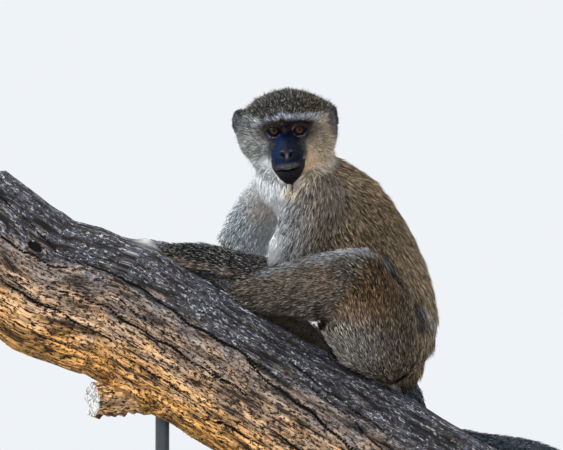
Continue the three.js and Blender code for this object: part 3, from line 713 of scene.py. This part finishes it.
# Places in millimetres, in the head's frame and in the model's, and which way the skin faces.
q = places / MM
head_x, head_y, head_z = p.T
body_x, body_y, _ = q.T
_, facing_far, facing_up = normals.T
trunkish = near_part(12, "trunk", "neck")
spine_spot, _, _ = on_line(places, np.array(BODY_LINES["spine"]) * MM)
belly_way = np.array((-0.86, -0.24, -0.45))
from_spine = places - spine_spot
ventral = (from_spine @ belly_way) / np.maximum(np.linalg.norm(from_spine, axis=1), 1e-6)
belly = smoothstep(0.15, 0.6, ventral) * trunkish * (1 - blob(q, (56, -30, 500), (24, 60, 26), 0.5))
mark(belly, 1, "#d6d6d4", 1, "#eceded")
# The bib covers the throat and the chest.
bib = blob(q, (-4, -40, 545), (30, 50, 62), 0.25) * trunkish * smoothstep(-0.1, 0.25, ventral)
mark(bib, 1, "#f0ede8", 1, "#f4f4f4")
# The far arm is pale on its inner and front face only, painted paler still as painted light in its
# shade, with a warm patch and a bluish patch of painted shade.
far_arm = near_part(20, "upper_arm_right") * smoothstep(0.5, 0.0, facing_far)
mark(far_arm, 1, "#dfe0df", 1, "#e9ebec")
for centre, half, code in [
    ((-19, 0, 541), (20, 60, 15), "#e2d0bb"), ((-46, 0, 530), (15, 60, 34), "#a9b9c9"),
]:
    mark(far_arm * blob(q, centre, half, 0.8), 0.75, code, 0.5, code)
inner_elbow = blob(q, (-5, -14, 502), (12, 40, 13), 0.3)
mark(inner_elbow, 1, "#fffcf6", 1, "#ffffff")
# Paler brown on the rump, the root of the tail and the shoulder.
for centre, half, share in [
    ((128, 20, 468), (32, 70, 46), 0.9), ((150, 20, 418), (24, 70, 32), 0.85),
    ((62, 10, 562), (30, 70, 26), 0.5),
]:
    mark(trunkish * blob(q, centre, half, 0.6), share, "#94806a")
near_arm = near_part(12, "upper_arm_left")
mark(near_arm * smoothstep(42, 2, body_x) * (1 - inner_elbow), 1, "#b4b2b1", 1, "#dfe1e4")
# The near thigh is dark above, grey below and browner between and at the knee.
near_thigh = near_part(12, "thigh_left")
mark(near_thigh * blob(q, (90, -55, 452), (34, 70, 36), 0.6), 0.85, "#4b3826", 0.8, "#967548")
mark(near_thigh * blob(q, (70, -50, 390), (32, 60, 28), 0.7), 0.85, "#827b74", 0.7, "#b5afa6")
for centre, half in [((80, -55, 424), (24, 60, 12)), ((48, -70, 459), (13, 50, 12))]:
    mark(blob(q, centre, half, 0.8), 0.7, "#7c6150")
mark(near_arm * blob(q, (40, -20, 554), (28, 60, 20), 0.7), 0.5, "#a5917f")
knee = blob(q, (82, -55, 470), (26, 34, 24), 0.5)
mark(knee, 0.8, "#332c26")
# The near shin and knee have painted light, a pale bluish grey, along the top and painted shade, a
# darker brown, below; the forearm is brown below as well.
near_shin = near_part(12, "shin_left")
top_light = (near_shin + 0.6 * knee * (1 - near_shin)) * smoothstep(0.35, 0.85, facing_up)
mark(top_light, 0.8, "#8b9096", 0.8, "#c3c8ce")
mark(near_shin * smoothstep(0.0, -0.6, facing_up), 0.8, "#4a3d35")
near_forearm = near_part(12, "forearm_left")
under_arm = near_forearm * smoothstep(0.0, -0.5, facing_up)
mark(under_arm, 0.8, "#8a7562", 0.6, "#b5a28c")
# The far leg and foot, seen under the belly, are painted a lighter brown as painted light in their shade.
mark(near_part(12, "shin_right", "foot_right"), 0.9, "#94826f", 0.9, "#b5a48e")
# A whitish streak beside the root of the tail.
streak = beside([(134, 438), (146, 427), (155, 414)], 7, 3) * smoothstep(0.2, -0.2, facing_far)
mark(streak, 0.7, "#a19c94", 0.7, "#cfcbc3")
wrist = near_forearm * smoothstep(-48, -75, body_x) * (1 - under_arm)
mark(wrist, 0.85, "#1f2023")
# Painted shade as a dark line where the thigh lies against the flank, and painted light as the pale
# band that runs on round the knee.
for line, wide, code, share in [
    ([(99, 486), (116, 459), (134, 433), (138, 421)], 6, "#25252a", 0.75),
    ([(66, 495), (90, 493), (104, 480)], 4, "#9aa0a8", 0.8),
]:
    mark(beside(line, wide, 0.3 * wide) * smoothstep(10, -10, body_y), share, code, 0.7 * share, code)
# The ruff's cream fringe falls over the near shoulder.
over_shoulder = beside([(38, 578), (28, 569), (17, 559)], 14, 5) * smoothstep(20, 0, body_y)
over_shoulder = over_shoulder * (near_arm + trunkish) * smoothstep(44, 30, body_x)
mark(over_shoulder, 0.9, "#dcc6a8", 0.9, "#eee2cf")
# The head: a dark cap, grey cheeks with warm painted light in ochre on the animal's left, a white throat
# and a brown nape.
cap = smoothstep(13.5, 18.5, head_z) * head_share
cheeks = np.max([blob(p, (x, -14, -8), (24, 34, 30), 0.3) for x in (36, -36)], axis=0)
cheeks = cheeks * head_share * (1 - cap)
crown_side = smoothstep(4, 24, head_x) * head_share * (1 - cheeks) * smoothstep(0, 10, head_z)
mark(crown_side, 0.7, "#1b1916", 0.7, "#8b7c5c")
mark(cheeks, 1, "#8d8c87", 1, "#d2d1c9")
mark(cheeks * smoothstep(0, 20, head_x), 0.9, "#bda58c", 0.9, "#e6d6be")
throat = smoothstep(-17, -26, head_z + 2.0 * np.sin(head_x * 0.5)) * head_share
mark(throat, 1, "#e9e8e4", 1, "#f6f6f3")
# Painted warm light: cream on the lower cheek and throat on the animal's left.
mark(blob(p, (25, -24, -34), (23, 44, 18), 0.6) * head_share, 0.95, "#f4cda0", 0.95, "#f3e2c4")
nape = smoothstep(2, 24, head_y) * head_share * smoothstep(-34, -24, head_z)
mark(nape, 0.8, "#5d5142", 0.8, "#b39c78")
# The ears are grey in front and nearly black at the rim.
ears = near_part(3, "ear_left", "ear_right")
mark(ears, 1, "#4a4b50", 1, "#85868a")
mark(blob(p, (46, -5, 12), (11, 40, 18), 0.3) * head_share, 0.9, "#3a3837", 0.9, "#6f6a64")
ear_rim = np.maximum(
    smoothstep(42.5, 46.5, head_x) * smoothstep(-8, 0, head_z),
    0.8 * smoothstep(19, 25, head_z) * ears,
) * head_share * smoothstep(33, 29, head_z - 0.2 * np.abs(head_x) + 8)
mark(ear_rim, 1, "#1c1c1f", 1, "#3a3a3e")
# The white band arches over the brows, lower towards the temples, above a dark line over the eyes.
side_fall = np.where(head_x < 2, 0.0052, 0.0010) * (head_x - 2) ** 2
band_height = 13.4 - side_fall + 2.6 * swell(head_x, -4, 3.0)
band = swell(head_z, band_height, 3.0, 4) * smoothstep(-4, -20, head_y)
band *= smoothstep(40, 25, np.abs(head_x + 2))
mark(band, 1, "#888c95", 1, "#eaedf4")
mark(band * smoothstep(8, 16, head_x), 1, "#b4b2b3")
under_band = band_height - 5.0
over_eyes = swell(head_z, under_band, 2.0) * front * smoothstep(26, 20, np.abs(head_x - 1))
mark(over_eyes, 1, "#1d1511", 1, "#3a2a20")
# Grey hair edges the bare face and the right temple, and dark brown hair rings the eyes.
fringe = smoothstep(0.02, 0.5, bare) * smoothstep(9, 4, head_z) * smoothstep(-30, -22, head_z)
mark(fringe, 0.7, "#3a3a40", 0.6, "#6c6864")
mark(blob(p, (-42, -14, 8), (13, 34, 12), 0.5) * head_share, 0.75, "#424243", 0.75, "#7f807f")
near_eye = np.max([blob(p, (x, -34, 2.5), (13.5, 22, 9.0), 0.75) for x in (14.2, -14.2)], axis=0) * front
mark(near_eye, 0.85, "#241b17", 0.8, "#4b3c32")
# The hair takes the colours so far. The bare face has its own from here on.
hair = coat.copy()
face = smoothstep(0.45, 0.8, bare)
upper_lip = swell(head_z, mouth + 4.0, 3.0) * smoothstep(16, 6, np.abs(head_x + 1))
septum = swell(head_x, nose_x, 1.7) * swell(head_z, -24.0, 3.6)
nostril_rims = np.maximum(*[
    swell(head_x, x, 2.2) * swell(head_z, -18.9, 0.9) for x in (nose_x + 4.2, nose_x - 4.2)
])
for where, amount, code in [
    (face, 1, "#070a17"),
    # Painted highlight: the navy beside the nose on the animal's right is lighter and bluer.
    (face * blob(p, (-10, -45, -16), (9, 26, 20), 0.6), 0.9, "#081a34"),    # bluer beside the nose
    (face * blob(p, (-1, -45, 3), (5.5, 20, 12), 0.6), 1, "#010416"),       # between the eyes
    (face * blob(p, (nose_x, -50, -21), (8, 16, 8), 0.5), 0.8, "#19181f"),  # tip of the nose
    (face * smoothstep(-28, -34, head_z), 1, "#171516"),                   # muzzle and chin
    (face * upper_lip, 0.8, "#515056"),
    (face * np.maximum(septum, 0.8 * nostril_rims), 1, "#524b51"),
    (hood, 0.95, "#1c120d"),
    (bag, 0.9, "#45363f"),
    (crease_highlight, 1, "#ad98a5"),
    (upper_lid, 1, "#6b4835"),
    (lid_rim, 1, "#040404"),
    # Painted shade: the nostrils are near black inside.
    (face * nostril, 1.6, "#030304"),
    (tooth, 1.3, "#b48e4c"),
    # Painted shade: the parting of the lips is near black, except over the tooth.
    (mouth_line * (1 - np.clip(1.3 * tooth, 0, 1)), 1.8, "#030303"),
]:
    mark(where, amount, code)
# The short hair of the chin has the hide's colour with brown tips.
mark(face * smoothstep(-38, -44, head_z), 0, "#6b5048", 1, "#6b5048")

put(skin.data, "coat", "FLOAT_COLOR", np.concatenate([coat**2, np.ones((len(coat), 1))], 1))
# Hide is matt and faintly moist, with fine pores and wrinkles that mottle it.
pore = 0.0009
hide, tree, shader = finish("bare hide, soft and slightly moist")
marked = node(tree, "Attribute", attribute_name="coat").outputs["Color"]
place = node(tree, "TexCoord").outputs["Object"]
wrinkles = node(tree, "TexNoise", {"Vector": place, "Scale": 0.35 / pore, "Detail": 5.0, "Roughness": 0.6})
pores = node(tree, "TexVoronoi", {"Vector": place, "Scale": 1 / pore})
mottle = node(tree, "MapRange", {"Value": wrinkles, "From Min": 0.3, "From Max": 0.7,
                                 "To Min": 0.5, "To Max": 1.6})
toned = node(tree, "VectorMath", {0: marked, 1: mottle}, operation="MULTIPLY")
skin_bump = node(tree, "Bump", {"Height": wrinkles, "Strength": 0.5, "Distance": 0.0014})
pore_bump = node(tree, "Bump", {"Height": pores, "Strength": 0.25, "Distance": 0.0004, "Normal": skin_bump})
wire(tree, shader, {"Base Color": toned, "Roughness": 0.5, "Specular IOR Level": 0.04, "Normal": pore_bump})
skin.data.materials.clear()
skin.data.materials.append(hide)
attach(skin, "root")
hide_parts(*FLESH)

# ---- Eyes ----
# Glass eyes, as a model maker sets them: a dark pupil in an amber-brown iris under a clear bulging front.
cornea_half, cornea_bulge = 5.2, 0.55
iris_stops = [
    (0.0, "#010101"), (0.17, "#020202"), (0.20, "#1c0e07"), (0.29, "#4c2a12"), (0.38, "#2a1409"),
    (0.44, "#070403"), (0.70, "#080504"), (1.0, "#0a0706"),
]
for name, side in (("left", 1), ("right", -1)):
    eye = bmesh.new()
    bmesh.ops.create_icosphere(eye, subdivisions=5, radius=eye_radius)
    centre = np.array((side * eye_apart / 2, -eye_forward, eye_up))
    aside = []
    for v in eye.verts:
        across_eye = math.hypot(v.co.x, v.co.z)
        front_of_eye = v.co.y < 0
        aside.append(across_eye if front_of_eye else 9.0)
        if front_of_eye and across_eye < cornea_half:
            v.co.y -= cornea_bulge * (1 - (across_eye / cornea_half) ** 2)
    spots = from_head(np.array([v.co for v in eye.verts]) + centre)
    angle = [math.atan2(v.co.z, v.co.x) for v in eye.verts]
    for v, spot in zip(eye.verts, spots):
        v.co = spot
    ball = bpy.data.objects.new(f"eye_glass_{name}", bpy.data.meshes.new(f"eye_glass_{name}"))
    eye.to_mesh(ball.data)
    eye.free()
    scene.collection.objects.link(ball)
    ball.data.shade_smooth()
    put(ball.data, "aside", "FLOAT", aside)
    put(ball.data, "spoke", "FLOAT_VECTOR", [(math.cos(a), math.sin(a), 0.0) for a in angle])
    # Polished glass over a painted iris: rays of lighter and darker brown, with painted shade darkening it
    # towards the upper lid and painted light brightening its lower part.
    glass, tree, shader = finish(f"glass eye, amber iris, polished {name}")
    aside_of = node(tree, "Attribute", attribute_name="aside").outputs["Fac"]
    spoke_of = node(tree, "Attribute", attribute_name="spoke").outputs["Vector"]
    ring = node(tree, "MapRange", {"Value": aside_of, "From Min": 0.0, "From Max": 8.0})
    iris = node(tree, "ValToRGB", {"Fac": ring}, iris_stops)
    rays = node(tree, "TexNoise", {"Vector": spoke_of, "Scale": 9.0, "Detail": 3.0})
    ray_tone = node(tree, "MapRange", {"Value": rays, "From Min": 0.3, "From Max": 0.7,
                                       "To Min": 0.6, "To Max": 1.35})
    rayed = node(tree, "VectorMath", {0: iris, 1: ray_tone}, operation="MULTIPLY")
    up_iris = node(tree, "SeparateXYZ", {"Vector": spoke_of}).outputs["Y"]
    lid_shade = node(tree, "MapRange", {"Value": up_iris, "From Min": -0.7, "From Max": 0.7,
                                        "To Min": 1.5, "To Max": 0.25})
    shaded = node(tree, "VectorMath", {0: rayed, 1: lid_shade}, operation="MULTIPLY")
    wire(tree, shader, {"Base Color": shaded, "Roughness": 0.4, "Specular IOR Level": 0.05,
                        "Coat Weight": 0.16, "Coat IOR": 1.4, "Coat Roughness": 0.03})
    ball.data.materials.append(glass)
    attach(ball, "root")
    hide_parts(f"eye_{name}")

# ---- Coat ----
# Hair in solid tufts, each a slender three-sided lock that springs from the skin and bends to lie along it.
# Every tuft carries its own place in the markings, a darker root and, on many, a pale ring near its tip.
rng = np.random.default_rng(7)
skin.data.calc_loop_triangles()
skin_tris = np.empty(len(skin.data.loop_triangles) * 3, np.int32)
skin.data.loop_triangles.foreach_get("vertices", skin_tris)
skin_tris = skin_tris.reshape(-1, 3)
a, b, c = (places[skin_tris[:, i]] for i in range(3))
tri_area = np.linalg.norm(np.cross(b - a, c - a), axis=1) / 2
tri_part = part[skin_tris[:, 0]]

# Each part's hair: its length and width in millimetres, how far it stands up in degrees, and how thickly
# it grows.
length, width, lift, density = by_part({
    "head": (8.0, 0.54, 36, 1.7), "neck": (14.0, 0.72, 24, 1.0), "trunk": (12.5, 0.80, 22, 0.8),
    "ear": (3.0, 0.45, 18, 2.0), "upper_arm": (11.5, 0.74, 20, 0.95), "forearm": (8.5, 0.70, 17, 1.1),
    "hand": (3.2, 0.50, 10, 2.0), "thigh": (11.0, 0.76, 22, 0.9), "shin": (8.5, 0.70, 17, 1.1),
    "foot": (3.2, 0.50, 10, 1.6), "tail": (7.5, 0.80, 17, 1.5),
}).T
length, lift = (eased(skin.data, field, 40)[:, 0] for field in (length, lift))
width = eased(skin.data, width, 20)[:, 0]
# It is long on the ruff, bib, throat and elbow and at the root of the tail, and short on the face and ears.
face_hair = near_face * head_share
length = length * (1 - 0.6 * face_hair) + 1.5 * ruff * (1 - near_face) * head_share + 7 * bib
length = length + 5 * throat * (1 - near_face) + 8 * inner_elbow + 7 * over_shoulder
length = length * (1 - 0.6 * bare) * (1 - 0.35 * near_eye)
length = length + 5 * blob(q, (150, 10, 402), (8, 50, 9), 0.4)
length = length + (3.0 - length) * smoothstep(0.2, 0.7, ears)
for middle, half, extra in [((43, 0, 27), (12, 40, 10), 3.0), ((-31, 0, 27), (16, 40, 13), 2.0)]:
    length = length + extra * blob(p, middle, half, 0.6)
# The hair under the near shin, foot and forearm stands down on the log, and the far foot is furred above.
under_limb = near_shin + near_part(12, "foot_left", "forearm_left")
under_limb = np.clip(under_limb * smoothstep(-0.1, -0.8, facing_up) * (body_x < 40), 0, 1)
length = length + 4.5 * under_limb
lift = lift + 30 * under_limb
length = length + 4.0 * is_part["foot_right"] * smoothstep(-0.3, 0.3, facing_up)
lift = lift * (1 - 0.45 * face_hair)
width = width * (1 - 0.25 * face_hair)
density = density * (1 + 1.0 * face_hair) * (1 - smoothstep(0.45, 0.98, bare))
palm = is_part["hand_left"] + is_part["hand_right"] + is_part["foot_left"] + is_part["foot_right"]
density *= 1 - palm * smoothstep(-0.45, -0.8, facing_up)
fields = np.stack([length, width, lift], 1)
# Roots are dark in their own shade, less so in the pale fur and where the coat thins out at the face.
pale_fur = np.clip(np.maximum.reduce([bib, throat, inner_elbow, far_arm, belly]), 0, 1)
# Painted light: the elbow tuft's roots are lighter still, where it lies in the arm's shade.
root_tone = 0.16 + 0.52 * pale_fur + 0.25 * inner_elbow + 0.45 * near_face * (1 - pale_fur)
evenness = np.clip(0.90 * pale_fur + 0.2 * cheeks - 0.3 * far_arm - 0.15 * throat, 0, 0.9)
clumped = head_share * smoothstep(6, 14, head_z)

# Hair is dry, with a soft sheen along it, dark at the root and on ticked tufts ringed pale near the tip.
hair_finish, tree, shader = finish("guard hair, dry, soft sheen")
coat_of, tick_of = (
    node(tree, "Attribute", attribute_name=name).outputs["Color"] for name in ("coat", "tick")
)
along_of, ticked_of = (
    node(tree, "Attribute", attribute_name=name).outputs["Fac"] for name in ("along", "ticked")
)
pale_ring_stops = [(0.0, 0.0), (0.50, 0.0), (0.66, 1.0), (0.86, 1.0), (1.0, 0.35)]
ring = node(tree, "ValToRGB", {"Fac": along_of}, pale_ring_stops)
paled = node(tree, "Math", {0: ring, 1: ticked_of}, operation="MULTIPLY")
toned = node(tree, "Mix", {0: paled, 6: coat_of, 7: tick_of}, data_type="RGBA")
wire(tree, shader, {"Base Color": toned.outputs[2], "Roughness": 0.62, "Specular IOR Level": 0.12})


def unit(vectors):
    """The same directions at a length of one."""
    return vectors / np.maximum(np.linalg.norm(vectors, axis=1), 1e-9)[:, None]


def tuft_faces(rings):
    """A tuft's triangles: a point at the root, one or two rings of three, and a point at the tip."""
    faces = [(0, 2, 1), (0, 3, 2), (0, 1, 3)]
    if rings == 2:
        for k in range(3):
            a, b = 1 + k, 1 + (k + 1) % 3
            faces += [(a, b, b + 3), (a, b + 3, a + 3)]
    top = 3 * rings - 2
    last = top + 3
    return np.array(faces + [(last, top, top + 1), (last, top + 1, top + 2), (last, top + 2, top)])


def fur(name, parts, count, rings=1, share=None, longer=1.0, rise=0.0, pull=(0.0, 0.0, 0.0),
        pale=0.45, stray=5.0, wild=0.0, thick=density, tint=hair):
    """One piece of coat over these parts of the body, of this many tufts.

    Share is where it grows and thick how thickly. Longer, rise and pull lengthen its hairs, stand them up
    and draw them to a side, and stray is how unevenly they stand, in degrees. Pale and wild are the shares
    of ticked and of loose, longer tufts, and tint is the colours that they take.
    """
    chosen = np.isin(tri_part, [FLESH.index(n) for n in parts])
    chance = tri_area * chosen * thick[skin_tris].mean(1)
    if share is not None:
        chance = chance * np.clip(share[skin_tris].mean(1), 0, 1)
    picked = rng.choice(len(skin_tris), count, p=chance / chance.sum())
    weights = rng.dirichlet((1.0, 1.0, 1.0), count)

    def at_root(values):
        return (values.reshape(len(places), -1)[skin_tris[picked]] * weights[:, :, None]).sum(1)

    root = at_root(places)
    out = unit(at_root(normals))
    way = at_root(lie)
    long, wide, raised = at_root(fields).T
    way = way + np.cross(out, way) * rng.normal(0, 0.16, count)[:, None]
    way = unit(way - out * (way * out).sum(1)[:, None])
    long = long * longer * rng.uniform(0.65, 1.25, count) * MM
    wide = wide * rng.uniform(0.7, 1.25, count) * MM
    loose = rng.random(count) < wild
    long = long * np.where(loose, rng.uniform(1.2, 1.5, count), 1.0)
    raised = np.radians(np.clip(raised + rise + rng.normal(0, stray, count) + 9 * loose, 2, 62))
    first, second = (
        way * np.cos(raised * bend)[:, None] + out * np.sin(raised * bend)[:, None] for bend in (1.5, 0.55)
    )
    second = unit(second + np.array(pull))
    middle = root + first * (long * 0.42)[:, None]
    tip = middle + second * (long * 0.58)[:, None]
    # Neighbouring tufts draw together into locks.
    lock_size, drawn_in = 0.0027, 0.22
    cell = np.floor((root + rng.normal(0, 0.0006, (count, 3))) / lock_size).astype(np.int64)
    key = (cell * np.array((73856093, 19349663, 83492791))).sum(1)
    lock = np.unique(key, return_inverse=True)[1].ravel()
    size = np.bincount(lock)
    mean = np.stack([np.bincount(lock, tip[:, i]) / size for i in range(3)], 1)[lock]
    tip = tip + (mean - tip) * drawn_in
    root = root - out * 0.0006
    # Its points: the root, three round each ring, and the tip.
    axis = unit(tip - root)
    across = unit(np.cross(axis, out))
    over = np.cross(across, axis)
    levels = [(middle, 0.5)] if rings == 1 else [
        (root * 0.72 + middle * 0.28 + out * 0.0004, 0.36),
        (middle * 0.80 + tip * 0.20, 0.5),
    ]
    loops = []
    for spot, half in levels:
        for k in range(3):
            turn = 2 * math.pi * k / 3 + math.pi / 2
            aside = across * math.cos(turn) + over * (0.6 * math.sin(turn))
            loops.append(spot + aside * (wide * half)[:, None])
    points = np.stack([root, *loops, tip], 1)
    per = points.shape[1]
    tris = (tuft_faces(rings)[None] + (np.arange(count) * per)[:, None, None]).reshape(-1, 3)
    mesh = bpy.data.meshes.new(name)
    mesh.vertices.add(count * per)
    mesh.vertices.foreach_set("co", points.astype(np.float32).ravel())
    mesh.loops.add(len(tris) * 3)
    mesh.loops.foreach_set("vertex_index", tris.astype(np.int32).ravel())
    mesh.polygons.add(len(tris))
    mesh.polygons.foreach_set("loop_start", (np.arange(len(tris)) * 3).astype(np.int32))
    mesh.update(calc_edges=True)
    mesh.shade_smooth()
    # Colour: the marking at the root, a little lighter or darker from lock to lock and tuft to tuft.
    unlike = 1 + 1.3 * at_root(clumped)[:, 0].mean()
    bright = (1 + rng.uniform(-0.30, 0.30, lock.max() + 1) * unlike)[lock]
    dim = rng.random(count) < 0.36
    bright = bright * np.where(dim, rng.uniform(0.15, 0.45, count), rng.uniform(0.85, 1.7, count))
    bright = bright + (1.08 - bright) * at_root(evenness)[:, 0]
    own, pale_tip = (
        np.repeat((at_root(layer) ** 2 * bright[:, None])[:, None], per, 1) for layer in (tint, tick)
    )
    ring_steps = [0.42] if rings == 1 else [0.2, 0.55]
    steps = np.array([0.0, *np.repeat(ring_steps, 3), 1.0])
    root_share = at_root(root_tone)
    own *= (root_share + (1 - root_share) * np.minimum(steps / 0.55, 1))[:, :, None]
    opaque = np.ones((count, per, 1))
    put(mesh, "coat", "FLOAT_COLOR", np.concatenate([own, opaque], 2))
    put(mesh, "tick", "FLOAT_COLOR", np.concatenate([pale_tip, opaque], 2))
    put(mesh, "along", "FLOAT", np.broadcast_to(steps, (count, per)))
    ticked = (rng.random(count) < pale) * rng.uniform(0.5, 1.0, count)
    put(mesh, "ticked", "FLOAT", np.repeat(ticked[:, None], per, 1))
    # The bake's map: the skin unrolled round each body line, with a small patch where each tuft is rooted.
    at = skin_tris[picked, 0]
    lines_here, column = np.unique(line_id[at], return_inverse=True)
    u0 = (column.ravel() + 0.04 + 0.92 * line_turn[at]) / len(lines_here)
    v0 = 0.02 + 0.95 * line_along[at]
    u0 = u0 + rng.uniform(-0.002, 0.002, count)
    v0 = v0 + rng.uniform(-0.002, 0.002, count)
    patch = 0.003
    du = np.array([0.5] + [0.0, 1.0, 0.5] * rings + [0.5]) * patch
    uv = np.stack([u0[:, None] + du, v0[:, None] + steps * patch], 2)
    layer = mesh.uv_layers.new(name="OFBake")
    layer.data.foreach_set("uv", uv.reshape(-1, 2)[tris.ravel()].astype(np.float32).ravel())
    piece = bpy.data.objects.new(name, mesh)
    scene.collection.objects.link(piece)
    mesh.materials.append(hair_finish)
    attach(piece, "root")


back_share = smoothstep(0.35, -0.1, ventral)
top_of_head = smoothstep(6, 14, head_z)
left_of_head = smoothstep(-1.5, 1.5, head_x)
ruff_edge = blob(p, (32, -16, -33), (24, 34, 14), 0.4) * (1 - near_face)
chin_share = face * smoothstep(-40, -46, head_z)
fur("fur_crown", ["head", "ear_left", "ear_right"], 32000, share=top_of_head, stray=9.0,
    wild=0.10, rise=-6.0)
fur("fur_cheek_left", ["head"], 27000, share=(1 - top_of_head) * left_of_head, wild=0.02)
fur("fur_cheek_right", ["head"], 24000, share=(1 - top_of_head) * (1 - left_of_head), wild=0.02)
fur("fur_ruff", ["head"], 4500, rings=2, share=ruff_edge, longer=1.25, rise=3.0,
    pull=(0.0, -0.1, -0.45), pale=0.8)
fur("fur_chin", ["head"], 1500, share=chin_share, longer=0.7, thick=np.ones(len(p)), tint=coat,
    pale=0.25)
fur("fur_elbow", ["upper_arm_left", "trunk", "upper_arm_right"], 2500, rings=2, share=inner_elbow,
    rise=-6.0, pull=(-0.9, 0.0, -0.7), pale=0.9)
fur("fur_bib", ["neck", "trunk"], 12000, rings=2, share=1 - back_share, pull=(0.0, 0.0, -0.25),
    pale=0.8)
fur("fur_back", ["trunk", "neck"], 33000, share=back_share, pale=0.5)
for name, kinds, count in [
    ("fur_arms", ("upper_arm", "forearm", "hand"), 33000), ("fur_thighs", ("thigh",), 28000),
    ("fur_shins", ("shin", "foot"), 22000), ("fur_tail", ("tail",), 12000),
]:
    fur(name, [n for n in FLESH if n.startswith(kinds)], count)
